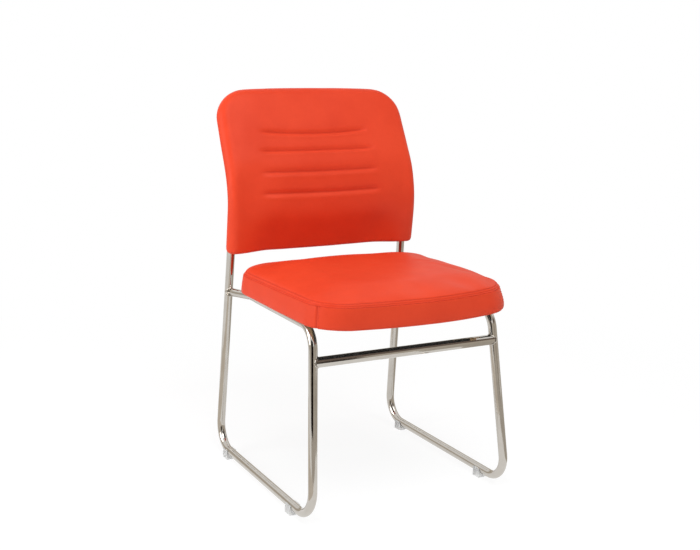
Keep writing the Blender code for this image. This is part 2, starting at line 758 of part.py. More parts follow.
def back_face(x, along, places):
    """Returns how far the back's face lies ahead of the uprights' centre line."""
    bulge = math.exp(-((along - BACK_LUMBAR_PLACE) / BACK_LUMBAR_SPREAD) ** 2)
    middle = BACK_MIDDLE_FRONT + BACK_LUMBAR_RISE * bulge
    middle -= BACK_HOLLOW * (1 - ease(along, 0, BACK_HOLLOW_END))
    to_rim = ease(abs(x), BACK_MIDDLE_INNER, BACK_MIDDLE_OUTER)
    face = middle + (BACK_RIM_FRONT - middle) * to_rim
    face -= round_off(BACK_LENGTH - along, BACK_CREST_RADIUS)
    face -= round_off(along, BACK_LOWER_ROUND)
    return face - channel_depth(x, along, places)


def sag(x, along, places):
    """Returns the height that the highest channel's bow takes off a point of the face."""
    reach = CHANNEL_HALF_LENGTHS[-1]
    across = max(1 - (x / reach) ** 2, 0)
    near = math.exp(-((along - places[-1]) / CHANNEL_BOW_SPREAD) ** 2)
    return CHANNEL_BOW * across * near


def top_arch(x, along):
    """Returns how far the top edge's arch lowers a point of the back."""
    return BACK_TOP_ARCH * (x / BACK_HALF_WIDTH) ** 2 * (along / BACK_LENGTH) ** BACK_TOP_ARCH_POWER


def back_section(along, places):
    """Returns the back cushion's section across the back, that far up."""
    half = back_half_width(along)
    split = TUBE_RADIUS + BACK_SPLIT
    flat = half - BACK_RIM_RADIUS
    rim_face = back_face(flat, along, places)
    radius = min(BACK_RIM_RADIUS, rim_face)
    front = []
    for share in BACK_COLUMN_SHARES:
        x = flat * share
        front.append((x, -back_face(x, along, places)))
    for step in range(1, BACK_RIM_STEPS + 1):
        angle = math.pi / 2 * step / (BACK_RIM_STEPS + 1)
        front.append((flat + BACK_RIM_RADIUS * math.sin(angle), radius - rim_face - radius * math.cos(angle)))
    front.append((half, radius - rim_face))
    wrap = TUBE_RADIUS + BACK_WRAP
    most = math.asin(split / wrap)
    centre = min(upright_x(along), half - wrap)
    for step in range(BACK_WRAP_STEPS + 1):
        angle = most * step / BACK_WRAP_STEPS
        front.append((centre + wrap * math.cos(angle), wrap * math.sin(angle)))
    mirrored = [(-x, n) for x, n in reversed(front[1:])]
    points = []
    for x, behind in mirrored + front:
        lower = top_arch(x, along)
        if behind < 0:
            lower += sag(x, along, places)
        points.append(on_back(x, along - lower, behind))
    return points


def back_rows(places):
    """Returns the distances up the back at which the pad has a section."""
    rows = [BACK_LOWER_ROUND * share for share in BACK_LOWER_SHARES]
    rows += [BACK_LENGTH * share for share in BACK_PLAIN_SHARES]
    rows += [BACK_LENGTH * BACK_UPPER_SHARE, BACK_LENGTH - BACK_TOP_CORNER]
    rows += [BACK_LENGTH - BACK_TOP_CORNER * share for share in BACK_CREST_SHARES]
    for centre in places:
        rows += [centre + CHANNEL_HALF_WIDTH * share for share in CHANNEL_ROW_SHARES]
    return sorted(rows)


def board_rows(margin):
    """Returns the distances up the back at which the back board has a section."""
    low = BACK_BOARD_LOWER_MARGIN - margin
    high = BACK_LENGTH - BACK_BOARD_UPPER_MARGIN + margin
    low_way, first_y, first_z, straight = back_bend()
    arc = (BACK_LEAN - low_way) * BACK_BEND_RADIUS
    bends = [straight + arc * step / BEND_STEPS for step in range(BEND_STEPS + 1)]
    return [low] + [along for along in bends if low < along < high] + [high]


def slab_section(along, half, ahead, behind):
    """Returns a rectangular section across the back."""
    return [on_back(-half, along, ahead), on_back(half, along, ahead),
            on_back(half, along, behind), on_back(-half, along, behind)]


def make_back_board(chair, tools):
    """Makes the curved plywood board in front of the uprights, with holes for its nuts."""
    rear = -TUBE_RADIUS - CLEARANCE
    front = rear - BACK_BOARD_THICKNESS
    sections = []
    for along in board_rows(0):
        sections.append(slab_section(along, upright_x(along) + TUBE_RADIUS, front, rear))
    board = loft("back_board", sections, chair)
    for word, side in SIDES.items():
        for place_word, along in back_screw_places():
            spot = on_back(side * upright_x(along), along, front)
            name = place_word + "_" + word
            hole = turned("back_hole_" + name, nut_profile(True), False, tools, spot, -back_way(along))
            cut(board, as_cutter(hole))
            nut = turned("back_nut_" + name, nut_profile(False), True, chair, spot, -back_way(along))
            finish_piece(nut, "steel", STEEL_LOOK)
            screw = screw_body("back_screw_" + name, side, along, 0, chair)
            finish_piece(screw, "steel", STEEL_LOOK)
    finish_piece(board, "plywood", PLYWOOD_LOOK)


def back_screw_places():
    """Returns a name and the distance up the back of each pair of back screws."""
    board_top = BACK_LENGTH - BACK_BOARD_UPPER_MARGIN
    return (("low", BACK_BOARD_LOWER_MARGIN + BACK_SCREW_LOW_MARGIN),
            ("high", board_top - BACK_SCREW_HIGH_MARGIN))


def screw_body(name, side, along, grown, group):
    """Returns a sunk screw through the upright, or its hole when grown."""
    head = SCREW_HEAD_RADIUS + grown
    shank = SCREW_RADIUS + grown
    top = TUBE_RADIUS - BACK_SCREW_SINK
    cone = top - BACK_SCREW_CONE
    front = -TUBE_RADIUS - CLEARANCE - BACK_BOARD_THICKNESS
    tip = front + BACK_BOARD_THICKNESS - BACK_SCREW_GRIP
    if grown:
        top, tip = TUBE_RADIUS + OVERRUN, -TUBE_RADIUS - OVERRUN
    profile = [
        (0, top),
        (head, top),
        (head, cone + BACK_SCREW_CONE / 2 - grown),
        (shank, cone - grown),
        (shank, tip),
        (0, tip),
    ]
    spot = on_back(side * upright_x(along), along, 0)
    return turned(name, profile, False, group, spot, back_way(along))


def sleeve_path(side):
    """Returns the path of the space for an upright and its plug in the back pad."""
    path = side_path(side)[:BEND_STEPS + 3]
    way = (path[0] - path[1]).normalized()
    return [path[0] + way * (PLUG_THICKNESS + CLEARANCE + CLEARANCE)] + path[1:]


def make_back_cushion(chair, tools):
    """Makes the back's padded front with its channels, hollowed for the board and uprights."""
    places = channel_places()
    sections = [back_section(along, places) for along in back_rows(places)]
    pad = loft("back_cushion", sections, chair)
    floor = -TUBE_RADIUS - BACK_BOARD_THICKNESS - CLEARANCE - CLEARANCE
    behind = TUBE_RADIUS + BACK_SPLIT + OVERRUN
    board_space = []
    core_space = []
    for along in board_rows(CLEARANCE):
        half = upright_x(along) + TUBE_RADIUS + CLEARANCE
        board_space.append(slab_section(along, half, floor, -TUBE_RADIUS / 2))
    for along in board_rows(CLEARANCE + CLEARANCE):
        half = upright_x(along) - BACK_CORE_INSET
        core_space.append(slab_section(along, half, -TUBE_RADIUS - CLEARANCE, behind))
    cut(pad, as_cutter(loft("board_pocket", board_space, tools)))
    cut(pad, as_cutter(loft("core_pocket", core_space, tools)))
    for word, side in SIDES.items():
        sleeve = tube("back_sleeve_" + word, sleeve_path(side), TUBE_RADIUS + CLEARANCE, tools)
        cut(pad, as_cutter(sleeve))
    finish_piece(pad, "leather", LEATHER_LOOK)


def panel_section(along, filled):
    """Returns the rear panel's section, with the filling between the uprights if there is any."""
    wrap = TUBE_RADIUS + BACK_WRAP
    split = TUBE_RADIUS + BACK_SPLIT
    centre = min(upright_x(along), back_half_width(along) - wrap)
    half = centre + math.sqrt(wrap ** 2 - split ** 2)
    front = split + CLEARANCE
    rear = front + BACK_PANEL_THICKNESS
    edge = round_off(BACK_LENGTH - along, BACK_PANEL_ROUND) + round_off(along, BACK_PANEL_ROUND)
    rear -= edge
    core_half = min(upright_x(along) - TUBE_RADIUS - BACK_SPLIT, half - BACK_PANEL_ROUND)
    core = (core_half, -TUBE_RADIUS) if filled else (core_half - BACK_PANEL_ROUND, front)
    right = [
        core,
        (core_half, front),
        (half, front),
        (half, rear - BACK_PANEL_ROUND),
        (half - BACK_PANEL_ROUND, rear),
    ]
    left = [(-x, n) for x, n in reversed(right)]
    return [on_back(x, along - top_arch(x, along), behind) for x, behind in left + right]


def make_back_panel(chair):
    """Makes the upholstered panel behind the uprights, filled out between them."""
    low = BACK_BOARD_LOWER_MARGIN
    high = BACK_LENGTH - BACK_BOARD_UPPER_MARGIN
    rows = [(BACK_PANEL_ROUND * share, False) for share in BACK_LOWER_SHARES]
    rows += [(low - CLEARANCE, False)]
    rows += [(along, True) for along in board_rows(0)]
    rows += [(high + CLEARANCE, False)]
    rows += [(BACK_LENGTH - BACK_TOP_CORNER * share, False)
             for share in BACK_CREST_SHARES if BACK_TOP_CORNER * share < BACK_BOARD_UPPER_MARGIN]
    panel = loft("back_rear_panel", [panel_section(along, filled) for along, filled in rows], chair)
    finish_piece(panel, "leather", LEATHER_LOOK)


def make_plugs(chair):
    """Makes the plastic plugs on the uprights' upper ends."""
    for word, side in SIDES.items():
        corners = frame_corners(side)
        way = (corners[0] - corners[1]).normalized()
        profile = [
            (0, PLUG_THICKNESS),
            (TUBE_RADIUS - PLUG_ROUND, PLUG_THICKNESS),
            (TUBE_RADIUS, PLUG_THICKNESS - PLUG_ROUND),
            (TUBE_RADIUS, 0),
            (0, 0),
        ]
        plug = turned("upright_plug_" + word, profile, False, chair, corners[0] + way * CLEARANCE, way)
        finish_piece(plug, "black_plastic", PLUG_LOOK)


def centre_on_floor(chair, tools):
    """Parents everything to an empty and centres the chair's depth on the origin."""
    bpy.context.view_layer.update()
    graph = bpy.context.evaluated_depsgraph_get()
    depths = []
    for thing in chair.objects:
        world = thing.matrix_world
        depths += [(world @ Vector(corner)).y for corner in thing.evaluated_get(graph).bound_box]
    root = bpy.data.objects.new("chair_origin", None)
    chair.objects.link(root)
    for thing in list(chair.objects) + list(tools.objects):
        if thing is not root:
            thing.parent = root
    root.location.y = -(min(depths) + max(depths)) / 2


def main():
    """Builds the chair."""
    clear_scene()
    chair = new_collection("visitor_chair")
    tools = new_collection("cutters")
    make_side_frames(chair, tools)
    make_front_crossbar(chair, tools)
    make_rear_tie(chair, tools)
    make_seat_cushion(chair, tools)
    make_seat_board(chair, tools)
    make_dust_cover(chair, tools)
    make_seat_tabs(chair, tools)
    make_glides(chair, tools)
    make_back_board(chair, tools)
    make_back_cushion(chair, tools)
    make_back_panel(chair)
    make_plugs(chair)
    centre_on_floor(chair, tools)


main()
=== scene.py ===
"""Looks of the visitor chair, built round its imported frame.

Metres, +Z up. The chair faces -Y and the sitter's left side is at +X.
"""
import json
import math

import bmesh
import bpy
import numpy as np
from mathutils import Matrix, Vector, noise
from mathutils.bvhtree import BVHTree


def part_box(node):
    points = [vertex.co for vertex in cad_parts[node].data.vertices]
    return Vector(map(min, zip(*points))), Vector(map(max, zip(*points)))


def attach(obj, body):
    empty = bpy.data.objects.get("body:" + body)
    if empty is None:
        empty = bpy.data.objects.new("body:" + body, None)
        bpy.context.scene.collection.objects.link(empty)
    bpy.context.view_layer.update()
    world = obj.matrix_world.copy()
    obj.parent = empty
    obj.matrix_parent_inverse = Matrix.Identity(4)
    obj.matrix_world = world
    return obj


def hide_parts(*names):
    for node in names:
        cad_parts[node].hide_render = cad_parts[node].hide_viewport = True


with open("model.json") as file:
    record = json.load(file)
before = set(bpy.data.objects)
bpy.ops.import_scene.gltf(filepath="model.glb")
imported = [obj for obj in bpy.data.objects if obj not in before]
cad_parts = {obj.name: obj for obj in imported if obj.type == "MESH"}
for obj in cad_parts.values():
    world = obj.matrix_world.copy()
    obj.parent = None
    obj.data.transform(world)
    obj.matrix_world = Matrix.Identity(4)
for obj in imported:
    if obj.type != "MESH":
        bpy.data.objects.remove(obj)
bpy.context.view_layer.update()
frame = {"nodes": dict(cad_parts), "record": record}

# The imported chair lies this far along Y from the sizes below.
GLIDE_REAR_Y = 0.192
glide_low, glide_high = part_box("glide_rear_left")
SHIFT = (glide_low.y + glide_high.y) / 2 - GLIDE_REAR_Y

# Side frames, at the tube's centre line
TUBE_RADIUS = 0.0095
RUNNER_HEIGHT = 0.018
REAR_BEND = (0.235, 0.254)
FRONT_BEND = (0.237, -0.254)
FRONT_TOP = (0.215, -0.202)
RAIL_HEIGHT = 0.405
RAIL_REAR = (0.212, 0.115)
RAIL_WELD_HEIGHT = 0.397
RAIL_END_RADIUS = 0.0092
RAIL_END_SHORT = 0.8  # of the tube's radius, between the rail's end and the upright's centre
RAIL_SPLICE = 0.030  # from the step in the rail's thickness to its last bend
BACK_BEND = (0.2225, 0.1862, 0.635)
BACK_LEAN = math.radians(26.5)
UPRIGHT_ABOVE_BEND = 0.170
UPRIGHT_TOP_X = 0.219
BEND_RADII = (0.200, 0.055, 0.055, 0.050, 0.040)
BEND_STEPS = 26
TUBE_SIDES = 36
TUBE_PIECE = 0.02  # the longest piece of a straight run
# The step in the rail: places along it and the radius at each
SPLICE_STEPS = (
    (-0.0015, TUBE_RADIUS),
    (0, TUBE_RADIUS - 0.0001),
    (0.0006, RAIL_END_RADIUS + 0.0001),
    (0.0015, RAIL_END_RADIUS),
)

# Crossbars and weld beads
BAR_RADIUS = 0.011
BAR_HEIGHT = 0.337
TIE_RADIUS = 0.008
TIE_Y = 0.045
BEAD_RADIUS = 0.0016
BEAD_STEPS = 84
BEAD_SIDES = 10
BEAD_OFF_BAR = 0.0003
BEAD_OFF_TUBE = 0.0002
BEAD_RUN_UP = 0.03  # from where a bead's rays start to the joint
BEAD_RIPPLES = ((13, 0, 0.10), (29, 1, 0.05))  # count, start and share of the radius

# Outlines and pads
OUTLINE_STEPS = 60  # of each straight run and each corner
QUARTER = [math.pi / 2 * k / OUTLINE_STEPS for k in range(OUTLINE_STEPS + 1)]
GRID_PASSES = 500
FRONT_MARK = -1.0  # the row mark of points on a pad's first grid
REAR_MARK = 99.0  # the same on its last grid
RINGS_END = 20  # row marks of a pad's rings end below this
CLOTH_FRAMES = 20
CLOTH_SETTINGS = {
    "quality": 6, "mass": 0.35, "tension_stiffness": 30, "compression_stiffness": 30,
    "shear_stiffness": 15, "bending_stiffness": 6.0, "use_pressure": True,
}
FOAM_PASSES = 14
FOAM_SHARE = 0.6  # that a point takes from its neighbours in each pass
NOISE_STEPS = (7.3, 3.1, 5.7)

# Seat
SEAT_GRID = (66, 62)
SEAT_BASE = 0.4148
SEAT_FRONT_Y = -0.305
SEAT_REAR_Y = 0.169
SEAT_HALF_WIDTH = 0.241
SEAT_FRONT_NARROWING = 0.004
SEAT_FRONT_BOW = 0.030
SEAT_REAR_BOW = 0.006
SEAT_FRONT_CORNER = 0.078
SEAT_REAR_CORNER = 0.075
SEAT_MIDDLE = np.array([0, (SEAT_FRONT_Y + SEAT_REAR_Y) / 2 + SHIFT])
SEAT_SEAM_HEIGHT = 0.051
SEAT_SEAM_INSET = 0.006
TOP_SEAM_INSET = SEAT_SEAM_INSET + 0.0012
SEAM_SINK = 0.0006
# The seam drops from front to rear, where the top rolls over it.
SEAM_DROP = (0.0028, 0.0070)
SEAM_DROP_PLACES = (-0.26, 0.10)
SEAT_CROWN = 0.0140
SEAT_DOME_POWER = 11
SEAT_EDGE_POWER = 0.62
CROWN_RINGS = ((0.0085, 0.0004), (0.0045, 0.0004), (0.0018, 0))  # inset from the seam, lift
# The border's rings: share of the seam's height and bulge
BORDER_RINGS = ((0.955, 0.0006), (0.90, 0.0006), (0.80, 0.0004),
                (0.66, 0), (0.50, 0), (0.34, 0), (0.18, 0))
SEAT_EDGE_ROUND = 0.004
SEAT_EDGE_INSET = 0.0002
SEAT_EDGE_TURNS = np.radians((0, 30, 60, 90))
SEAT_POCKET_INSET = 0.0087
SEAT_POCKET_HEIGHT = 0.0123
POCKET_RINGS = ((-0.0015, 0), (0, 0.0008), (0, SEAT_POCKET_HEIGHT))  # more inset, height
SEAT_PUFF = (2.2, 0.010)  # pressure, and the most that a point moves
# The cover is drawn in further at the sitter's front left corner.
DRAWN_CORNER = (-0.0042, 0.0062)
DRAWN_ACROSS = (0.02, 0.235)
DRAWN_ALONG = (0.08, 0.28)
DRAWN_FOOT = 0.01
DRAWN_MORE_ABOVE = 1.1

# Seams of the seat: rows of the pad's rings, places and widths. Their marks paint the leather darker:
# shade in the grooves, and dirt in the seam.
STITCH_ROWS = (1.55, 4.2)
BORDER_ROWS = (3.5, 14.5)
SEAM_LINE = (0.35, 0.0010, 0.5)  # width in rows, depth and mark of dirt and painted shade
STITCH_LINE = (0.26, 0.0009, 0.8)
CORNER_SEAM = (0.230, -0.243)
CORNER_SEAM_WAY = (0.6, 0.8)
CORNER_SEAM_REACH = 0.03
CORNER_COLUMN = (4, 15)  # rows that the corner's stitches run over
CORNER_SPOT_ROW = 8
CORNER_STITCH = 0.0024
CORNER_GROOVE = (0.0013, 0.0013, 0.9)  # width, depth and mark of painted shade
CORNER_ROWS = (0.0011, 0.0003, 0.25)  # the same of its rows of stitches
# Creases of the top: place, direction, half length and depth
CREASES = ((0.142, -0.046, 2.75, 0.030, 0.0013), (0.154, -0.089, 2.65, 0.034, 0.0016),
           (0.166, -0.130, 2.60, 0.026, 0.0012), (-0.150, 0.075, 0.35, 0.040, 0.0006),
           (0.060, 0.085, 3.05, 0.050, 0.0006))
CREASE_WIDTH = 0.0032
CREASE_WAVE = (0.003, 50)  # height and turns per metre
CREASE_RIDGE = (0.008, 0.0055, 0.5)  # distance, width and share of the depth
TOP_FADE = (-1.2, 0.6)
PUCKER = (150, 3, 0.00035)  # noise scale, seed and depth of the puckers along the seam
PUCKER_STRETCH = (1, 1, 0.25)
PUCKER_ROWS = 2.2
BORDER_WAVES = 0.5

# The leather's unevenness: noise scale, seed and depth
SEAT_WAVES = ((12, 1, 0.0008), (38, 2, 0.0002))
BACK_WAVES = ((9, 4, 0.0006), (30, 5, 0.00018))
PANEL_WAVES = ((15, 6, 0.0006),)

# Stitches
STITCH_PITCH = 0.0052
STITCH_LENGTH = 0.0038
STITCH_RADIUS = 0.00042
STITCH_RINGS = 7
STITCH_SIDES = 6
STITCH_FLATNESS = 1.15
STITCH_TIP = 0.04  # the square of the tip's share of the radius
STITCH_LIFT = 0.00022
STITCH_SINK = 0.00055  # how much deeper its tips lie than its middle

# Back, measured up the uprights' centre line from the pad's lower edge
BACK_GRID = (66, 52)
BACK_BOTTOM_HEIGHT = 0.492
BACK_LENGTH = 0.380
BACK_HALF_WIDTH = 0.2425
BACK_TAPER = 0.006
BACK_RIM_FRONT = 0.036
BACK_MIDDLE_FRONT = 0.037
BACK_MIDDLE_EDGE = (0.120, 0.212)
BACK_LUMBAR = (0.125, 0.055, 0.006)  # place, spread and rise
BACK_HOLLOW = (0.122, 0.020)  # end and depth of the hollow over the lower edge
BACK_TOP_CORNER = 0.074
BACK_TOP_ARCH = 0.005
BACK_BOTTOM_CORNER = 0.010
BACK_BOTTOM_CORNER_LEAST = 0.003
BACK_SPLIT = 0.011
BACK_WRAP = 0.0115
# Insets of the back's rings at its sides, top and bottom
BACK_OUTER_INSETS = (0, 0, 0)
BACK_FACE_INSETS = (0.020, 0.022, 0.0075)
BACK_MIDDLE_INSETS = (0.0056, 0.001, 0.001)
BACK_REAR_INSETS = (0.0138, 0.006, 0.004)
BACK_ROLL_TURNS = np.radians((0, 15, 30, 45, 60, 75, 90))
BACK_SIDE_SHARES = (0.35, 0.7)
BACK_WRAP_TURNS = np.radians((0, 25, 50, 73))
BACK_PINNED_ROW = 8
BACK_LOW_PINNED = (3, 0.03)  # row and distance from the lower edge
BACK_FACE_END = 2.5
BACK_WAVES_END = 10
BACK_PUFF = (1.2, 0.003)
CHANNEL_PLACES = (0.1325, 0.1730, 0.2188, 0.2667)
CHANNEL_HALF_LENGTHS = (0.163, 0.158, 0.157, 0.146)
CHANNEL_BOWS = (0.0025, 0.0025, 0.0020, 0.0085)
CHANNEL_SIDE = -0.014
CHANNEL_FADE = 0.035
# A channel's line, its wide hollow and its lip: place, width and depth
CHANNEL_PROFILE = ((0, 0.0048, 0.0032), (0.002, 0.011, 0.0012), (-0.0095, 0.0050, -0.0010))
CHANNEL_SHADE_MARK = (0.0018, 0.9)  # width and strength of the painted shade along a channel's line

# Rear panel, measured behind the uprights' centre line
PANEL_FRONT = 0.0113
PANEL_EDGE = 0.0128
PANEL_ROUND = 0.0035
PANEL_ROUND_TURNS = np.radians((30, 60, 90))
PANEL_RISE = 0.0012
PANEL_PINNED_ROW = 1.5
PANEL_WAVES_ROW = 2
PANEL_PUFF = (0.8, 0.003)

# Colours of the materials
LEATHER_TONES = ((0.80, 0.060, 0.020), (0.87, 0.073, 0.025))
LEATHER_FLECK = (0.60, 0.026, 0.008)
LEATHER_PORE = (0.42, 0.016, 0.005)
# Painted shade in the grooves of seams, stitch lines and channels, with dirt in the seams
LEATHER_SEAM_DIRT_AND_SHADE = (0.46, 0.018, 0.005)
THREAD_TONES = ((0.54, 0.030, 0.010), (0.80, 0.057, 0.019))
CHROME_TONES = ((0.51, 0.475, 0.430), (0.565, 0.535, 0.490))
STEEL_TONES = ((0.34, 0.34, 0.33), (0.52, 0.52, 0.50))
WOOD_TONES = ((0.40, 0.25, 0.13), (0.58, 0.41, 0.24), (0.66, 0.49, 0.31))
WOOD_STREAK = (0.33, 0.20, 0.10)
CLOTH_TONES = ((0.010, 0.010, 0.011), (0.035, 0.035, 0.038))
GLIDE_TONES = ((0.80, 0.80, 0.79), (0.90, 0.90, 0.89))
PLASTIC_TONES = ((0.018, 0.018, 0.019), (0.035, 0.035, 0.036))

# Stage
WHITE = (1, 1, 1)
FLOOR_SIZE = 24
FLOOR_PAINT = (0.90, 0.90, 0.90)
FLOOR_GLOW = (0.855, 0.855, 0.855)
FLOOR_SHADE = (0.21, 0.21, 0.21)
FLOOR_FADE = (0.6, 1.8)  # from the chair, where the floor turns plain white
WORLD_STRENGTH = 0.36
WALL_RADIUS = 3.0
WALL_HEIGHT = 1.25
WALL_FOOT = 0.01
# Tones that glow only in reflections, as painted reflections: the wall's and the cards'
WALL_TONE = (0.60, 0.55, 0.48)
BLACK_TONE = (0.006, 0.004, 0.003)
SHADE_TONE = (0.050, 0.038, 0.032)
DARK_TONE = (0.20, 0.155, 0.13)
GREY_TONE = (0.56, 0.52, 0.465)
PALE_TONE = (0.76, 0.70, 0.62)
# Lamps: name, place, target, size and power
LAMPS = (
    ("softbox_front", (-0.2, -1.3, 2.7), (0, 0.05, 0.5), (2.2, 1.4), 43),
    ("softbox_left", (-2.7, 0.45, 1.35), (0, 0, 0.5), (1.4, 1.6), 37),
)
# Cards, painted reflections that glow in one tone: name, place, target, size and tone
CARDS = (
    ("card_near", (-0.68, -0.75, 0.53), (-0.22, -0.22, 0.53), (0.66, 0.77), BLACK_TONE),
    ("card_front", (0.9, -2.4, 0.42), (0, 0, 0.42), (0.24, 2.4), SHADE_TONE),
    ("card_above", (1.7, -2.4, 1.45), (0, 0, 0.9), (3.0, 1.9), DARK_TONE),
    ("card_floor", (-0.1, -1.95, 0.012), (-0.1, -1.95, 1.0), (3.6, 1.9), GREY_TONE),
    ("card_left", (-0.65, -0.2, 0.012), (-0.65, -0.2, 1.0), (0.6, 1.64), PALE_TONE),
    ("card_right", (1.45, 0.0, 0.012), (1.45, 0.0, 1.0), (2.2, 2.0), GREY_TONE),
)
CAMERA_PLACE = (-1.159, -2.101, 0.956)
CAMERA_TURNS = ((-28.37, "Z"), (90 - 11.742, "X"), (1.0, "Z"))  # yaw, pitch and roll
SENSOR_WIDTH = 36
FOCAL_PIXELS = 1100
PICTURE_WIDTH = 700


# Meshes

def ease(value, low, high):
    """Returns a smooth step from 0 at low to 1 at high."""
    share = np.clip((value - low) / (high - low), 0, 1)
    return share * share * (3 - 2 * share)


def hump(off, width):
    """Returns a smooth bell of height 1 at 0."""
    return np.exp(-(off / width) ** 2)


def new_object(name, verts, faces):
    """Returns a smooth mesh object of that name in the scene."""
    mesh = bpy.data.meshes.new(name)
    mesh.from_pydata(verts, [], faces)
    mesh.shade_smooth()
    made = bpy.data.objects.new(name, mesh)
    bpy.context.scene.collection.objects.link(made)
    return made


def subdivide(thing, levels):
    """Smooths a piece with applied subdivision."""
    step = thing.modifiers.new("Smooth", "SUBSURF")
    step.levels = levels
    graph = bpy.context.evaluated_depsgraph_get()
    old, thing.data = thing.data, bpy.data.meshes.new_from_object(thing.evaluated_get(graph))
    thing.modifiers.clear()
    bpy.data.meshes.remove(old)


def triples(items, field):
    """Returns a field of mesh items as rows of three."""
    values = np.zeros(len(items) * 3)
    items.foreach_get(field, values)
    return values.reshape(-1, 3)


def coordinates(thing):
    """Returns a mesh's points as an array."""
    return triples(thing.data.vertices, "co")


def set_coordinates(thing, points):
    """Moves a mesh's points."""
    thing.data.vertices.foreach_set("co", points.ravel())
    thing.data.update()


def press(thing, depth):
    """Moves a mesh's points in by a depth along their normals."""
    out = triples(thing.data.vertex_normals, "vector")
    set_coordinates(thing, coordinates(thing) - out * depth[:, None])


def store(thing, name, values):
    """Keeps a value for each point on the mesh."""
    layer = thing.data.attributes.get(name) or thing.data.attributes.new(name, "FLOAT", "POINT")
    layer.data.foreach_set("value", np.asarray(values, dtype=np.float32))


def stored(thing, name):
    """Reads a value kept for each point."""
    values = np.zeros(len(thing.data.vertices), dtype=np.float32)
    thing.data.attributes[name].data.foreach_get("value", values)
    return values.astype(float)


def ring_faces(first, second, sides, skip=0):
    """Returns the faces between two rings, given their first points' numbers."""
    faces = []
    for step in range(sides):
        after = (step + 1) % sides
        faces.append((first + step, first + after,
                      second + (after - skip) % sides, second + (step - skip) % sides))
    return faces


def end_faces(first, last, sides):
    """Returns the two faces that close a row of rings."""
    return [tuple(reversed(range(first, first + sides))), tuple(range(last, last + sides))]


def path_ways(path, closed):
    """Returns a path's direction at each of its points."""
    ends = (path[-1], path[0]) if closed else (path[0], path[-1])
    path = [ends[0], *path, ends[1]]
    return [(after - before).normalized() for before, after in zip(path, path[2:])]


def swept(name, path, radii, sides=TUBE_SIDES, closed=False):
    """Returns a smooth round tube along a path."""
    ways = path_ways(path, closed)
    side = ways[0].orthogonal().normalized()
    verts = []
    for index, (point, way) in enumerate(zip(path, ways)):
        if index:
            side = ways[index - 1].rotation_difference(way) @ side
            side = (side - way * side.dot(way)).normalized()
        up = way.cross(side)
        for step in range(sides):
            angle = 2 * math.pi * step / sides
            verts.append(point + (side * math.cos(angle) + up * math.sin(angle)) * radii[index])
    faces = []
    last = (len(path) - 1) * sides
    for first in range(0, last, sides):
        faces += ring_faces(first, first + sides, sides)
    if closed:
        start = verts[0] - path[0]
        end = ways[-1].rotation_difference(ways[0]) @ side
        twist = math.atan2(end.cross(start).dot(ways[0]), end.dot(start))
        faces += ring_faces(last, 0, sides, round(twist / (2 * math.pi) * sides))
    else:
        faces += end_faces(0, last, sides)
    return new_object(name, verts, faces)


def fillet_path(corners, radii):
    """Returns a path's points, with each inner corner rounded by an arc."""
    points = [corners[0]]
    for before, corner, after, radius in zip(corners, corners[1:], corners[2:], radii):
        back_way = (before - corner).normalized()
        next_way = (after - corner).normalized()
        half = back_way.angle(next_way) / 2
        reach = radius / math.tan(half)
        centre = corner + (back_way + next_way).normalized() * (radius / math.sin(half))
        first = corner + back_way * reach - centre
        last = corner + next_way * reach - centre
        sweep = math.pi - 2 * half
        for step in range(BEND_STEPS + 1):
            angle = sweep * step / BEND_STEPS
            arm = first * math.sin(sweep - angle) + last * math.sin(angle)
            points.append(centre + arm / math.sin(sweep))
    points.append(corners[-1])
    return points


def spread(path, radii):
    """Adds points along a path's long straight runs."""
    points, sizes = [path[0]], [radii[0]]
    for before, after, first, last in zip(path, path[1:], radii, radii[1:]):
        pieces = max(int((after - before).length / TUBE_PIECE), 1)
        for step in range(1, pieces + 1):
            points.append(before.lerp(after, step / pieces))
            sizes.append(first + (last - first) * step / pieces)
    return points, sizes


# Steel frame

def frame_corners(side):
    """Returns the side tube's corners, from the upright's top to its rail's weld."""
    top_y = BACK_BEND[1] + UPRIGHT_ABOVE_BEND * math.sin(BACK_LEAN)
    top_z = BACK_BEND[2] + UPRIGHT_ABOVE_BEND * math.cos(BACK_LEAN)
    corners = [
        Vector((UPRIGHT_TOP_X, top_y, top_z)),
        Vector(BACK_BEND),
        Vector((*REAR_BEND, RUNNER_HEIGHT)),
        Vector((*FRONT_BEND, RUNNER_HEIGHT)),
        Vector((*FRONT_TOP, RAIL_HEIGHT)),
        Vector((*RAIL_REAR, RAIL_HEIGHT)),
    ]
    share = (RAIL_WELD_HEIGHT - RUNNER_HEIGHT) / (corners[1].z - RUNNER_HEIGHT)
    corners.append(corners[2].lerp(corners[1], share))
    return [Vector((side * c.x, c.y + SHIFT, c.z)) for c in corners]


def make_side_frame(word, corners):
    """Makes one bent side tube, its rail's end swaged, with its weld."""
    _, back_bend_corner, rear_corner, _, front_top, rail_rear, _ = corners
    path = fillet_path(corners, BEND_RADII)
    end_way = (path[-1] - path[-2]).normalized()
    path[-1] = path[-1] - end_way * TUBE_RADIUS * RAIL_END_SHORT
    ahead, behind = path[:-BEND_STEPS - 2], path[-BEND_STEPS - 2:]
    rail_way = (rail_rear - front_top).normalized()
    splice = behind[0] - rail_way * RAIL_SPLICE
    path = ahead + [splice + rail_way * place for place, _ in SPLICE_STEPS] + behind
    radii = [TUBE_RADIUS] * len(ahead) + [radius for _, radius in SPLICE_STEPS]
    radii += [RAIL_END_RADIUS] * len(behind)
    tube = swept("frame_tube_" + word, *spread(path, radii))
    finish(tube, "chrome", "side_frame_" + word)
    bead("weld_rail_" + word, path[-1], end_way, RAIL_END_RADIUS, rear_corner, back_bend_corner)


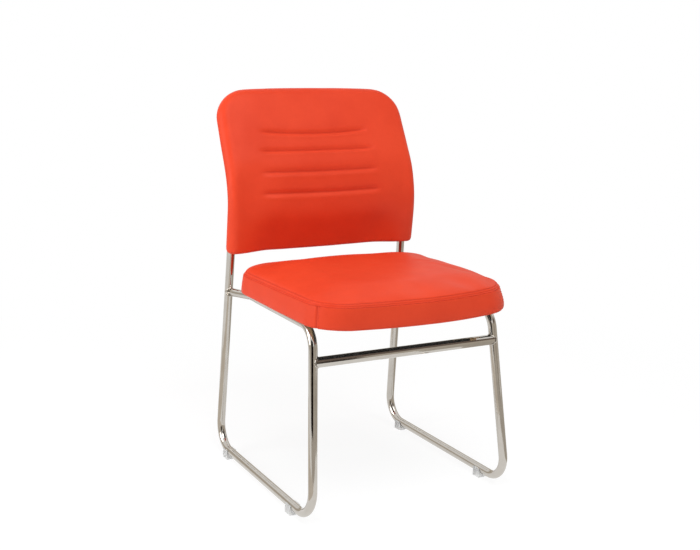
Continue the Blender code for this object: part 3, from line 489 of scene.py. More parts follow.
def bead(name, start, way, radius, axis_low, axis_high):
    """Makes the weld bead where a round bar meets a side tube with that axis."""
    axis = (axis_high - axis_low).normalized()
    side = way.orthogonal().normalized()
    up = way.cross(side)
    flat_way = way - axis * way.dot(axis)
    points = []
    sizes = []
    for step in range(BEAD_STEPS):
        angle = 2 * math.pi * step / BEAD_STEPS
        arm = (side * math.cos(angle) + up * math.sin(angle)) * (radius + BEAD_OFF_BAR)
        ray = start - way * BEAD_RUN_UP + arm
        gap = ray - axis_low
        flat_gap = gap - axis * gap.dot(axis)
        a = flat_way.dot(flat_way)
        b = 2 * flat_way.dot(flat_gap)
        c = flat_gap.dot(flat_gap) - (TUBE_RADIUS + BEAD_OFF_TUBE) ** 2
        root = b * b - 4 * a * c
        reach = (-b - math.sqrt(root)) / (2 * a) if root > 0 else -b / (2 * a)
        points.append(ray + way * reach)
        ripple = sum(math.sin(angle * count + first) * share for count, first, share in BEAD_RIPPLES)
        sizes.append(BEAD_RADIUS * (1 + ripple))
    finish(swept(name, points, sizes, sides=BEAD_SIDES, closed=True), "chrome")


def make_frame():
    """Makes both side frames and the beads of the two crossbars."""
    for word, side in (("left", 1), ("right", -1)):
        corners = frame_corners(side)
        make_side_frame(word, corners)
        _, _, _, front_corner, front_top, rail_rear, _ = corners
        share = (BAR_HEIGHT - RUNNER_HEIGHT) / (RAIL_HEIGHT - RUNNER_HEIGHT)
        joint = front_corner.lerp(front_top, share)
        way = Vector((side, 0, 0))
        bead("weld_crossbar_" + word, joint, way, BAR_RADIUS, front_corner, front_top)
        share = (TIE_Y + SHIFT - front_top.y) / (rail_rear.y - front_top.y)
        joint = front_top.lerp(rail_rear, share)
        bead("weld_tie_" + word, joint, way, TIE_RADIUS, front_top, rail_rear)


# Pads

def evenly(points, count):
    """Returns count + 1 points at even distances along a polyline."""
    points = np.asarray(points, float)
    steps = np.linalg.norm(np.diff(points, axis=0), axis=1)
    along = np.concatenate([[0], np.cumsum(steps)])
    wanted = np.linspace(0, along[-1], count + 1)
    return np.stack([np.interp(wanted, along, column) for column in points.T], axis=1)


def four_sides(right_half, size):
    """Returns the low, right, high and left sides of an outline from its right half.

    The half runs from the middle of the low side to the middle of the high side, with the
    indices of its two corners' middles.
    """
    points, low_mark, high_mark = right_half
    nx, ny = size
    points = np.asarray(points, float)
    mirrored = points * np.array([-1, 1])
    low = np.concatenate([mirrored[:low_mark + 1][::-1], points[1:low_mark + 1]])
    right = points[low_mark:high_mark + 1]
    high = np.concatenate([points[high_mark:], mirrored[high_mark:-1][::-1]])
    left = mirrored[low_mark:high_mark + 1][::-1]
    return evenly(low, nx), evenly(right, ny), evenly(high, nx), evenly(left, ny)


def ring_of(sides):
    """Joins four sides to one closed ring."""
    return np.concatenate([side[:-1] for side in sides])


def harmonic_grid(sides):
    """Returns an even grid of points inside four sides."""
    low, right, high, left = sides
    u = np.linspace(0, 1, len(low))[None, :, None]
    v = np.linspace(0, 1, len(right))[:, None, None]
    high, left = high[::-1], left[::-1]
    edges = (1 - v) * low[None] + v * high[None] + (1 - u) * left[:, None] + u * right[:, None]
    grid = (edges - (1 - u) * (1 - v) * low[0] - u * (1 - v) * low[-1]
            - (1 - u) * v * high[0] - u * v * high[-1])
    for _ in range(GRID_PASSES):
        grid[1:-1, 1:-1] = (grid[:-2, 1:-1] + grid[2:, 1:-1] + grid[1:-1, :-2] + grid[1:-1, 2:]) / 4
    return grid


def at_depth(flat, depth):
    """Adds a third coordinate to a ring or a grid of flat points."""
    depth = np.broadcast_to(depth, flat.shape[:-1])
    return np.concatenate([flat, depth[..., None]], axis=-1)


def grid_numbers(shape, start, around, following):
    """Returns the point numbers of a grid whose edge is a ring that starts at start."""
    ny, nx = shape[0] - 1, shape[1] - 1
    across, along = np.arange(nx + 1), np.arange(ny + 1)
    numbers = np.zeros((ny + 1, nx + 1), int)
    numbers[0, :] = start + across
    numbers[:, nx] = start + nx + along
    numbers[ny, :] = start + nx + ny + nx - across
    numbers[:, 0] = start + (2 * nx + ny + ny - along) % around
    inner = (ny - 1, nx - 1)
    numbers[1:-1, 1:-1] = following + np.arange(inner[0] * inner[1]).reshape(inner)
    return numbers.tolist()


def pad_mesh(name, rings, front, rear):
    """Returns a closed pad through rings of points, between the two grids that they edge."""
    around = len(rings[0])
    last = (len(rings) - 1) * around
    inner = [grid[1:-1, 1:-1].reshape(-1, 3) for grid in (front, rear)]
    faces = []
    for start in range(0, last, around):
        after_start = start + around
        for step in range(around):
            after = (step + 1) % around
            faces.append((start + step, after_start + step, after_start + after, start + after))
    following = last + around
    for start, turned in ((0, 1), (last, -1)):
        numbers = grid_numbers(front.shape, start, around, following)
        following += len(inner[0])
        for low, high in zip(numbers, numbers[1:]):
            faces += [quad[::turned] for quad in zip(low, low[1:], high[1:], high)]
    made = new_object(name, np.concatenate(rings + inner), faces)
    counts = [around] * len(rings) + [len(inner[0])] * 2
    store(made, "row", np.repeat([*range(len(rings)), FRONT_MARK, REAR_MARK], counts))
    return made


def puff(thing, pinned, pressure, cap):
    """Fills a pad by a cloth simulation with the pinned points held, and keeps its result."""
    before = coordinates(thing)
    pins = thing.vertex_groups.new(name="pins")
    pins.add(np.nonzero(pinned)[0].tolist(), 1.0, "REPLACE")
    cloth = thing.modifiers.new("Cloth", "CLOTH")
    for name, value in CLOTH_SETTINGS.items():
        setattr(cloth.settings, name, value)
    cloth.settings.uniform_pressure_force = pressure
    cloth.settings.vertex_group_mass = pins.name
    cloth.settings.effector_weights.gravity = 0
    cloth.collision_settings.use_collision = False
    cloth.point_cache.frame_start = 1
    cloth.point_cache.frame_end = CLOTH_FRAMES
    moves = after_cloth(thing) - before
    sizes = np.linalg.norm(moves, axis=1)
    moves[sizes > cap] *= (cap / sizes[sizes > cap])[:, None]
    set_coordinates(thing, before + evened(thing, moves, pinned))


def after_cloth(thing):
    """Runs a piece's cloth simulation and returns its points at the end."""
    scene = bpy.context.scene
    scene.frame_start = 1
    scene.frame_end = CLOTH_FRAMES
    for number in range(1, CLOTH_FRAMES + 1):
        scene.frame_set(number)
    moved = thing.evaluated_get(bpy.context.evaluated_depsgraph_get())
    points = triples(moved.to_mesh().vertices, "co")
    moved.to_mesh_clear()
    thing.modifiers.clear()
    scene.frame_set(1)
    return points


def evened(thing, moves, pinned):
    """Returns a pad's moves with the small folds taken out, as the foam under the cover does."""
    ends = np.zeros(len(thing.data.edges) * 2, dtype=np.int32)
    thing.data.edges.foreach_get("vertices", ends)
    first, second = ends[::2], ends[1::2]
    count = np.bincount(ends, minlength=len(moves)).astype(float)
    for _ in range(FOAM_PASSES):
        total = np.zeros_like(moves)
        np.add.at(total, first, moves[second])
        np.add.at(total, second, moves[first])
        moves = (1 - FOAM_SHARE) * moves + FOAM_SHARE * total / count[:, None]
        moves[pinned] = 0
    return moves


def wander(points, scale, seed):
    """Returns smooth noise from -1 to 1 at each point."""
    shift = Vector([seed * step for step in NOISE_STEPS])
    return np.array([noise.noise(Vector(p) * scale + shift) for p in points])


def waves(points, table):
    """Returns the leather's unevenness at each point."""
    return sum(wander(points, scale, seed) * deep for scale, seed, deep in table)


def half_outline(half, low, high, r_low, r_high):
    """Returns an outline's half at +X, with its corners' middles.

    It runs from low to high, half gives its half width there, and its corners are round.
    """
    count = OUTLINE_STEPS
    points = [((half(low) - r_low) * k / count, low) for k in range(count)]
    for a in QUARTER:
        along = low + r_low * (1 - math.cos(a))
        points.append((half(along) - r_low * (1 - math.sin(a)), along))
    start, end = low + r_low, high - r_high
    for k in range(1, count):
        along = start + (end - start) * k / count
        points.append((half(along), along))
    high_mark = len(points) + count // 2
    for a in QUARTER:
        along = high - r_high * (1 - math.sin(a))
        points.append((half(along) - r_high * (1 - math.cos(a)), along))
    last = points[-1][0]
    points += [(last * (1 - k / count), high) for k in range(1, count + 1)]
    return points, count + count // 2, high_mark


# Seat pad

def seat_half_outline(inset):
    """Returns the half of the seat's bowed outline at an inset."""
    half = SEAT_HALF_WIDTH - inset
    front = SEAT_FRONT_Y + inset
    rear = SEAT_REAR_Y - inset
    points, low_mark, high_mark = half_outline(
        lambda along: half, front, rear, SEAT_FRONT_CORNER - inset, SEAT_REAR_CORNER - inset)
    bowed = []
    for x, y in points:
        across = (x / half) ** 2
        along = (y - front) / (rear - front)
        set_back = SEAT_FRONT_BOW * across * max(1 - 2 * along, 0)
        rear_in = SEAT_REAR_BOW * across * max(2 * along - 1, 0)
        narrower = SEAT_FRONT_NARROWING * max(1 - 2 * along, 0) * x / half
        bowed.append((x - narrower, y + set_back - rear_in + SHIFT))
    return bowed, low_mark, high_mark


def seat_sides(inset):
    """Returns the four sides of the seat's outline at an inset."""
    return four_sides(seat_half_outline(inset), SEAT_GRID)


def seat_ring(inset, height):
    """Returns the seat's ring at an inset and a height."""
    return at_depth(ring_of(seat_sides(inset)), height)


def seam_drop(points):
    """Returns how far the seam lies below its full height at points in plan."""
    share = ease(points[..., 1] - SHIFT, *SEAM_DROP_PLACES)
    return SEAM_DROP[0] + (SEAM_DROP[1] - SEAM_DROP[0]) * share


def seat_rise(points, seam_ring):
    """Returns the crown's height over the seam's full height at points in plan."""
    rim = seam_ring[:, :2] - SEAT_MIDDLE
    angles = np.arctan2(rim[:, 1], rim[:, 0])
    order = np.argsort(angles)
    reach = np.linalg.norm(rim, axis=1)
    here = points[..., :2] - SEAT_MIDDLE
    ways = np.arctan2(here[..., 1], here[..., 0])
    limit = np.interp(ways, angles[order], reach[order], period=2 * math.pi)
    share = np.clip(np.linalg.norm(here, axis=-1) / limit, 0, 1)
    drop = seam_drop(points)
    return (SEAT_CROWN + drop) * (1 - share ** SEAT_DOME_POWER) ** SEAT_EDGE_POWER - drop


def seat_rings(seam):
    """Returns the seat's rings from the crown's edge to the pocket, and its seam's and base's rows."""
    rings = []
    for inset, lift in CROWN_RINGS:
        ring = seat_ring(TOP_SEAM_INSET + inset, seam[0, 2])
        ring[:, 2] += seat_rise(ring, seam) + lift
        rings.append(ring)
    seam_row = len(rings)
    rings.append(at_depth(seam[:, :2], seam[:, 2] - (SEAM_SINK + seam_drop(seam))))
    for share, out in BORDER_RINGS:
        ring = seat_ring(SEAT_SEAM_INSET * share ** 2 - out, SEAT_BASE)
        ring[:, 2] += (SEAT_SEAM_HEIGHT - seam_drop(ring)) * share
        rings.append(ring)
    base_row = len(rings)
    for turn in SEAT_EDGE_TURNS:
        rings.append(seat_ring(SEAT_EDGE_ROUND * (1 - math.cos(turn)) + SEAT_EDGE_INSET,
                               SEAT_BASE + SEAT_EDGE_ROUND * (1 - math.sin(turn))))
    for inset, height in POCKET_RINGS:
        rings.append(seat_ring(SEAT_POCKET_INSET + inset, SEAT_BASE + height))
    return rings, seam_row, base_row


def make_seat():
    """Makes the boxed seat pad with its seams, and their stitching."""
    seam_height = SEAT_BASE + SEAT_SEAM_HEIGHT
    seam = seat_ring(TOP_SEAM_INSET, seam_height)
    rings, seam_row, base_row = seat_rings(seam)
    inset, lift = CROWN_RINGS[0]
    top_plan = harmonic_grid(seat_sides(TOP_SEAM_INSET + inset))
    top = at_depth(top_plan, seam_height + lift + seat_rise(top_plan, seam))
    under = at_depth(harmonic_grid(seat_sides(SEAT_POCKET_INSET)), SEAT_BASE + SEAT_POCKET_HEIGHT)
    pad = pad_mesh("seat_pad", rings, top, under)
    draw_in_corner(pad)
    row = stored(pad, "row")
    puff(pad, (row == seam_row) | (row >= base_row), *SEAT_PUFF)
    lines = coordinates(pad)[:sum(map(len, rings))].reshape(len(rings), -1, 3)
    subdivide(pad, 2)
    press_seat(pad, seam_row)
    finish(pad, "leather", "seat_cushion")
    stitch_seat(pad, lines)


def draw_in_corner(pad):
    """Draws in the pad's front corner on the sitter's left, as the photograph shows it."""
    points = coordinates(pad)
    share = ease(points[:, 0], *DRAWN_ACROSS) * ease(SHIFT - points[:, 1], *DRAWN_ALONG)
    above = ease(points[:, 2], SEAT_BASE + DRAWN_FOOT, SEAT_BASE + SEAT_SEAM_HEIGHT)
    share *= 1 + DRAWN_MORE_ABOVE * above
    points[:, 0] += DRAWN_CORNER[0] * share
    points[:, 1] += DRAWN_CORNER[1] * share
    set_coordinates(pad, points)


def press_seat(pad, seam_row):
    """Presses the seams, creases and unevenness of the leather into the seat pad, and stores the marks
    that paint it darker: shade in the grooves and dirt in the seam.
    """
    points = coordinates(pad)
    row = stored(pad, "row")
    on_rings = (row > FRONT_MARK / 2) & (row < RINGS_END)
    border = (row > BORDER_ROWS[0]) & (row < BORDER_ROWS[1])
    width, seam_depth, seam_dirt_and_shade = SEAM_LINE
    seam = hump(row - seam_row, width) * on_rings
    width, line_depth, line_shade = STITCH_LINE
    upper, lower = [hump(row - line, width) * on_rings for line in STITCH_ROWS]
    depth = seam_depth * seam + line_depth * (upper + lower)
    marks = np.clip(seam_dirt_and_shade * seam + line_shade * upper + line_shade * lower, 0, 1)
    for side in (1, -1):
        marks = np.maximum(marks, press_corner(depth, points, border, side))
    top = ease(-row, *TOP_FADE) * (row < RINGS_END)
    top = top * (points[:, 2] > SEAT_BASE + SEAT_SEAM_HEIGHT - SEAM_DROP[1])
    press_creases(depth, points, top)
    depth += waves(points, SEAT_WAVES) * (top + BORDER_WAVES * border * (1 - seam))
    scale, seed, deep = PUCKER
    pucker = wander(points * np.array(PUCKER_STRETCH), scale, seed)
    depth += deep * pucker * hump(row - seam_row, PUCKER_ROWS) * on_rings
    press(pad, depth)
    # The marks paint shade into the grooves of the seam, the stitch lines and the corner seams, and
    # dirt into the seam.
    store(pad, "seam", marks)


def press_corner(depth, points, border, side):
    """Adds a corner seam and its rows of stitches to the depth, and returns their marks of painted
    shade.
    """
    x = points[:, 0] - side * CORNER_SEAM[0]
    y = points[:, 1] - CORNER_SEAM[1] - SHIFT
    off = x * (side * CORNER_SEAM_WAY[0]) + y * CORNER_SEAM_WAY[1]
    near = border & (np.hypot(x, y) < CORNER_SEAM_REACH)
    width, groove_depth, groove_shade = CORNER_GROOVE
    groove = hump(off, width) * near
    width, rows_depth, rows_shade = CORNER_ROWS
    rows = (hump(off - CORNER_STITCH, width) + hump(off + CORNER_STITCH, width)) * near
    depth += groove_depth * groove + rows_depth * rows
    return np.clip(groove_shade * groove + rows_shade * rows, 0, 1)


def press_creases(depth, points, top):
    """Adds shallow creases to the depth, where the cover is pulled."""
    wave, turns = CREASE_WAVE
    away, width, ridge = CREASE_RIDGE
    for x, y, angle, length, deep in CREASES:
        way = np.array([math.cos(angle), math.sin(angle)])
        delta = points[:, :2] - np.array([x, y])
        along = delta @ way
        off = delta @ np.array([-way[1], way[0]]) + wave * np.sin(along * turns)
        shape = hump(off, CREASE_WIDTH) - ridge * hump(off - away, width)
        depth += deep * shape * np.exp(-(along / length) ** 4) * top


# Stitching

def stitch_seat(pad, lines):
    """Sews along the seat's seam and along its two front corner seams."""
    for name, row in zip(("upper", "lower"), STITCH_ROWS):
        low = int(row)
        ring = lines[low] * (low + 1 - row) + lines[low + 1] * (row - low)
        stitch_line("seat_stitching_" + name, np.vstack([ring, ring[:1]]), pad)
    ring = lines[CORNER_SPOT_ROW]
    for word, side in (("left", 1), ("right", -1)):
        away = np.hypot(ring[:, 0] - side * CORNER_SEAM[0], ring[:, 1] - CORNER_SEAM[1] - SHIFT)
        column = lines[slice(*CORNER_COLUMN), int(np.argmin(away))]
        way = np.array([side * CORNER_SEAM_WAY[0], CORNER_SEAM_WAY[1], 0])
        for count, offset in enumerate((-CORNER_STITCH, CORNER_STITCH)):
            stitch_line(f"corner_stitching_{word}_{count + 1}", column + way * offset, pad)


def stitch_line(name, points, pad):
    """Lays a row of thread stitches along a line on a pad."""
    length = np.linalg.norm(np.diff(points, axis=0), axis=1).sum()
    count = max(int(length / STITCH_PITCH), 2)
    dense = evenly(points, count * 4)
    body = bmesh.new()
    body.from_mesh(pad.data)
    tree = BVHTree.FromBMesh(body)
    body.free()
    verts, faces = [], []
    for before, middle, after in zip(dense[1::4], dense[2::4], dense[3::4]):
        spot, out, _, _ = tree.find_nearest(Vector(middle))
        way = (Vector(after) - Vector(before)).normalized()
        add_stitch(verts, faces, spot, (way - out * way.dot(out)).normalized(), out)
    finish(new_object(name, verts, faces), "thread")


def add_stitch(verts, faces, spot, way, out):
    """Adds one stitch at a spot of the leather, its tips pulled in."""
    side = out.cross(way)
    start = len(verts)
    for row in range(STITCH_RINGS):
        share = row / (STITCH_RINGS - 1) * 2 - 1
        bulge = math.sqrt(max(1 - share ** 4, STITCH_TIP))
        lift = STITCH_LIFT - STITCH_SINK * share ** 4
        for step in range(STITCH_SIDES):
            angle = 2 * math.pi * step / STITCH_SIDES
            arm = side * math.cos(angle) * STITCH_FLATNESS + out * math.sin(angle)
            middle = spot + way * share * STITCH_LENGTH / 2
            verts.append(middle + arm * STITCH_RADIUS * bulge + out * lift)
    last = len(verts) - STITCH_SIDES
    for first in range(start, last, STITCH_SIDES):
        faces += ring_faces(first, first + STITCH_SIDES, STITCH_SIDES)
    faces += end_faces(start, last, STITCH_SIDES)


# Back pad

def back_bend():
    """Returns the uprights' lean below their bend, and the bend's first point and place."""
    low_way = math.atan2(BACK_BEND[1] - REAR_BEND[1], BACK_BEND[2] - RUNNER_HEIGHT)
    reach = BEND_RADII[0] * math.tan((BACK_LEAN - low_way) / 2)
    first_y = BACK_BEND[1] - reach * math.sin(low_way)
    first_z = BACK_BEND[2] - reach * math.cos(low_way)
    return low_way, first_y, first_z, (first_z - BACK_BOTTOM_HEIGHT) / math.cos(low_way)


LOW_WAY, FIRST_Y, FIRST_Z, STRAIGHT = back_bend()


def on_back(flat):
    """Returns places in the scene from x, distance up the back and depth behind the uprights."""
    x, along, behind = flat[..., 0], flat[..., 1], flat[..., 2]
    arch = (x / BACK_HALF_WIDTH) ** 2 * (along / BACK_LENGTH) ** 6
    along = along - BACK_TOP_ARCH * arch
    radius = BEND_RADII[0]
    lean = np.clip(LOW_WAY + (along - STRAIGHT) / radius, LOW_WAY, BACK_LEAN)
    low = np.minimum(along - STRAIGHT, 0)
    rest = np.maximum(along - STRAIGHT - (BACK_LEAN - LOW_WAY) * radius, 0)
    bend_y = radius * (math.cos(LOW_WAY) - np.cos(lean))
    bend_z = radius * (np.sin(lean) - math.sin(LOW_WAY))
    y = FIRST_Y + low * math.sin(LOW_WAY) + bend_y + rest * np.sin(lean)
    z = FIRST_Z + low * math.cos(LOW_WAY) + bend_z + rest * np.cos(lean)
    places = [x, y + behind * np.cos(lean) + SHIFT, z - behind * np.sin(lean)]
    return np.stack(places, axis=-1)


def back_face(x, along):
    """Returns how far the back's face lies ahead of the uprights' centre line."""
    place, spread, rise = BACK_LUMBAR
    end, deep = BACK_HOLLOW
    middle = BACK_MIDDLE_FRONT + rise * hump(along - place, spread)
    middle = middle - deep * (1 - ease(along, 0, end))
    return middle + (BACK_RIM_FRONT - middle) * ease(np.abs(x), *BACK_MIDDLE_EDGE)


def back_half_outline(side_in, top_in, bottom_in):
    """Returns the half of the back's outline at three insets."""
    r_low = max(BACK_BOTTOM_CORNER - max(side_in, bottom_in) / 2, BACK_BOTTOM_CORNER_LEAST)
    return half_outline(
        lambda along: BACK_HALF_WIDTH - BACK_TAPER * (along / BACK_LENGTH) ** 2 - side_in,
        bottom_in, BACK_LENGTH - top_in, r_low, BACK_TOP_CORNER - max(side_in, top_in))


def back_sides(insets):
    """Returns the four sides of the back's outline at three insets."""
    return four_sides(back_half_outline(*insets), BACK_GRID)


def back_rings():
    """Returns the back pad's rings from its face round the rim to its rear."""
    outer, inner, middle, rear = [ring_of(back_sides(insets)) for insets in (
        BACK_OUTER_INSETS, BACK_FACE_INSETS, BACK_MIDDLE_INSETS, BACK_REAR_INSETS)]
    local = np.linalg.norm(outer - inner, axis=1)
    face = back_face(inner[:, 0], inner[:, 1])
    rings = []
    for turn in BACK_ROLL_TURNS:
        flat = inner + (outer - inner) * math.sin(turn)
        rings.append(at_depth(flat, -face + local * (1 - math.cos(turn))))
    for share in BACK_SIDE_SHARES:
        flat = outer + (middle - outer) * share ** 2
        rings.append(at_depth(flat, (-face + local) * (1 - share)))
    whole = 1 - math.cos(BACK_WRAP_TURNS[-1])
    for turn in BACK_WRAP_TURNS:
        flat = middle + (rear - middle) * ((1 - math.cos(turn)) / whole)
        rings.append(at_depth(flat, BACK_WRAP * math.sin(turn)))
    return rings


def make_back():
    """Makes the back pad with its rounded rim and pressed channels."""
    plan = harmonic_grid(back_sides(BACK_FACE_INSETS))
    front = at_depth(plan, -back_face(plan[..., 0], plan[..., 1]))
    behind = at_depth(harmonic_grid(back_sides(BACK_REAR_INSETS)), BACK_SPLIT)
    pad = pad_mesh("back_pad", back_rings(), front, behind)
    flat = coordinates(pad)
    store(pad, "flat_x", flat[:, 0])
    store(pad, "flat_along", flat[:, 1])
    set_coordinates(pad, on_back(flat))
    row = stored(pad, "row")
    low_row, low_edge = BACK_LOW_PINNED
    pinned = (row >= BACK_PINNED_ROW) | ((row > low_row) & (flat[:, 1] < low_edge))
    puff(pad, pinned, *BACK_PUFF)
    subdivide(pad, 2)
    press_back(pad)
    finish(pad, "leather", "back_cushion")


def press_back(pad):
    """Presses the channels and the leather's unevenness into the back pad, and stores marks that paint
    shade along the channels' lines.
    """
    row = stored(pad, "row")
    x = stored(pad, "flat_x")
    along = stored(pad, "flat_along")
    depth = np.zeros(len(row))
    marks = np.zeros(len(row))
    shade_width, shade_strength = CHANNEL_SHADE_MARK
    for place, half, bow in zip(CHANNEL_PLACES, CHANNEL_HALF_LENGTHS, CHANNEL_BOWS):
        across = (x - CHANNEL_SIDE) / half
        off = along - place + bow * (1 - across ** 2)
        fade = (row < BACK_FACE_END) * (1 - ease(np.abs(across) * half, half - CHANNEL_FADE, half))
        depth += fade * sum(deep * hump(off - at, width) for at, width, deep in CHANNEL_PROFILE)
        marks = np.maximum(marks, fade * hump(off, shade_width))
    depth += waves(coordinates(pad), BACK_WAVES) * (row < BACK_WAVES_END)
    press(pad, depth)
    # The marks paint shade along the channels' grooves.
    store(pad, "seam", marks * shade_strength)


# Rear panel

def make_rear_panel():
    """Makes the upholstered panel behind the uprights."""
    sides = back_sides(BACK_REAR_INSETS)
    rings = [at_depth(ring_of(sides), depth) for depth in (PANEL_FRONT, PANEL_EDGE)]
    for turn in PANEL_ROUND_TURNS:
        more = PANEL_ROUND * (1 - math.cos(turn))
        ring = ring_of(back_sides([inset + more for inset in BACK_REAR_INSETS]))
        rings.append(at_depth(ring, PANEL_EDGE + PANEL_ROUND * math.sin(turn)))
    plan = harmonic_grid(back_sides([inset + PANEL_ROUND for inset in BACK_REAR_INSETS]))
    rise = PANEL_RISE * (1 - (np.abs(plan[..., 0]) / BACK_HALF_WIDTH) ** 4)
    outer = at_depth(plan, PANEL_EDGE + PANEL_ROUND + rise)
    panel = pad_mesh("back_panel", rings, at_depth(harmonic_grid(sides), PANEL_FRONT), outer)
    set_coordinates(panel, on_back(coordinates(panel)))
    puff(panel, stored(panel, "row") < PANEL_PINNED_ROW, *PANEL_PUFF)
    subdivide(panel, 1)
    row = stored(panel, "row")
    press(panel, waves(coordinates(panel), PANEL_WAVES) * (row > PANEL_WAVES_ROW))
    store(panel, "seam", np.zeros(len(row)))
    finish(panel, "leather", "back_rear_panel")


# Materials

def feed(tree, target, inputs):
    """Gives a node's inputs their links or plain values."""
    for name, value in inputs.items():
        if isinstance(value, bpy.types.NodeSocket):
            tree.links.new(value, target.inputs[name])
        else:
            target.inputs[name].default_value = value


def add_node(tree, kind, inputs, **settings):
    """Returns a new node with its inputs and settings."""
    made = tree.nodes.new(kind)
    for name, value in settings.items():
        setattr(made, name, value)
    feed(tree, made, inputs)
    return made


class Graph:
    """A small helper that builds a material's nodes."""

    def __init__(self, name):
        self.material = bpy.data.materials.new(name)
        self.material.use_nodes = True
        self.tree = self.material.node_tree
        self.place = self.node("ShaderNodeTexCoord", {}).outputs["Object"]

    def node(self, kind, inputs, **settings):
        return add_node(self.tree, kind, inputs, **settings)

    def noise(self, scale, detail, rough, stretch=None):
        place = self.place
        if stretch:
            place = self.node("ShaderNodeMapping", {"Vector": place, "Scale": stretch}).outputs[0]
        inputs = {"Vector": place, "Scale": scale, "Detail": detail, "Roughness": rough}
        return self.node("ShaderNodeTexNoise", inputs).outputs["Fac"]

    def cells(self, scale, warp):
        """Returns distances in a pattern of cells whose borders wander."""
        wobble = self.node("ShaderNodeTexNoise", {"Vector": self.place, "Scale": scale * 0.8})
        inputs = {0: wobble.outputs["Color"], 1: (warp, warp, warp), 2: self.place}
        place = self.node("ShaderNodeVectorMath", inputs, operation="MULTIPLY_ADD").outputs[0]
        inputs = {"Vector": place, "Scale": scale}
        return self.node("ShaderNodeTexVoronoi", inputs, feature="SMOOTH_F1").outputs["Distance"]

    def ramp(self, source, places, colours):
        made = self.node("ShaderNodeValToRGB", {"Fac": source})
        while len(made.color_ramp.elements) < len(places):
            made.color_ramp.elements.new(0.5)
        for element, place, colour in zip(made.color_ramp.elements, places, colours):
            element.position = place
            element.color = (*colour, 1)
        return made.outputs["Color"]

    def math(self, operation, *values):
        inputs = dict(enumerate(values))
        return self.node("ShaderNodeMath", inputs, operation=operation).outputs[0]

    def tinted(self, source, strength, before, colour):
        """Returns a colour mixed with a plain one by a source's share."""
        made = self.node("ShaderNodeMix", {}, data_type="RGBA")
        share, first, second = [socket for socket in made.inputs if socket.enabled]
        self.tree.links.new(self.math("MULTIPLY", source, strength), share)
        self.tree.links.new(before, first)
        second.default_value = (*colour, 1)
        return [socket for socket in made.outputs if socket.enabled][0]

    def shade(self, colour, roughness, bumps, **others):
        """Sets the shader's inputs, with bumps of a height, a strength and a distance each."""
        inputs = {"Base Color": colour, "Roughness": roughness}
        for name, value in others.items():
            inputs[name.replace("_", " ")] = value
        for height, strength, distance in bumps:
            bump = {"Height": height, "Strength": strength, "Distance": distance}
            if "Normal" in inputs:
                bump["Normal"] = inputs["Normal"]
            inputs["Normal"] = self.node("ShaderNodeBump", bump).outputs[0]
        feed(self.tree, self.tree.nodes["Principled BSDF"], inputs)


def leather(g):
    """Orange-red coated leather with a fine grain, painted darker in its seams and grooves: painted
    shade in the grooves of seams, stitch lines and channels, and dirt in the seams.
    """
    colour = g.ramp(g.noise(9, 3, 0.55), (0.30, 0.70), LEATHER_TONES)
    colour = g.tinted(g.noise(140, 2, 0.6), 0.12, colour, LEATHER_FLECK)
    pores = g.ramp(g.cells(720, 0.0011), (0, 0.75), ((0, 0, 0), WHITE))
    colour = g.tinted(pores, 0.08, colour, LEATHER_PORE)
    seam = g.node("ShaderNodeAttribute", {}, attribute_name="seam").outputs["Fac"]
    # Painted shade in the grooves of seams, stitch lines and channels, with dirt in the seams, from
    # the stored seam marks
    colour = g.tinted(seam, 0.60, colour, LEATHER_SEAM_DIRT_AND_SHADE)
    rough = g.math("MULTIPLY_ADD", g.noise(26, 4, 0.6), 0.14, 0.40)
    rough = g.math("MULTIPLY_ADD", seam, 0.15, rough)
    bumps = ((pores, 0.16, 0.00022), (g.noise(2600, 2, 0.6), 0.10, 0.00008),
             (g.noise(300, 3, 0.55), 0.12, 0.0004))
    g.shade(colour, rough, bumps, Specular_IOR_Level=0.13)


def thread(g):
    """Polyester thread in the leather's colour, twisted."""
    twist = g.noise(1800, 2, 0.6, stretch=(1, 1, 0.4))
    colour = g.ramp(twist, (0.35, 0.65), THREAD_TONES)
    g.shade(colour, 0.65, [(twist, 0.4, 0.0002)], Specular_IOR_Level=0.25)


def chrome(g):
    """Bright chrome plating with a faint ripple and fine handling marks."""
    haze = g.noise(34, 4, 0.6)
    marks = g.math("POWER", g.noise(700, 3, 0.7, stretch=(1, 0.08, 1)), 4.0)
    rough = g.math("MULTIPLY_ADD", marks, 0.25, g.math("MULTIPLY_ADD", haze, 0.06, 0.035))
    bumps = [(g.noise(45, 2, 0.5), 0.05, 0.0006)]
    g.shade(g.ramp(haze, (0.3, 0.7), CHROME_TONES), rough, bumps, Metallic=1)


def steel(g):
    """Zinc plated steel with a brushed, cloudy surface."""
    cloud = g.noise(260, 4, 0.6)
    rough = g.math("MULTIPLY_ADD", cloud, 0.2, 0.25)
    bumps = [(g.noise(1500, 2, 0.6), 0.1, 0.0001)]
    g.shade(g.ramp(cloud, (0.3, 0.7), STEEL_TONES), rough, bumps, Metallic=1)


def plywood(g):
    """Raw birch plywood with its grain and darker plies."""
    grain = g.noise(60, 5, 0.65, stretch=(1.0, 0.08, 6.0))
    streak = g.noise(420, 3, 0.6, stretch=(1.0, 0.03, 3.0))
    colour = g.tinted(streak, 0.25, g.ramp(grain, (0.25, 0.55, 0.8), WOOD_TONES), WOOD_STREAK)
    g.shade(colour, g.math("MULTIPLY_ADD", grain, 0.15, 0.6), [(streak, 0.2, 0.0003)])


def black_cloth(g):
    """Thin black non-woven cloth."""
    fibres = g.noise(1500, 4, 0.75)
    colour = g.ramp(fibres, (0.35, 0.7), CLOTH_TONES)
    g.shade(colour, 0.92, [(fibres, 0.5, 0.0004)], Sheen_Weight=0.3)


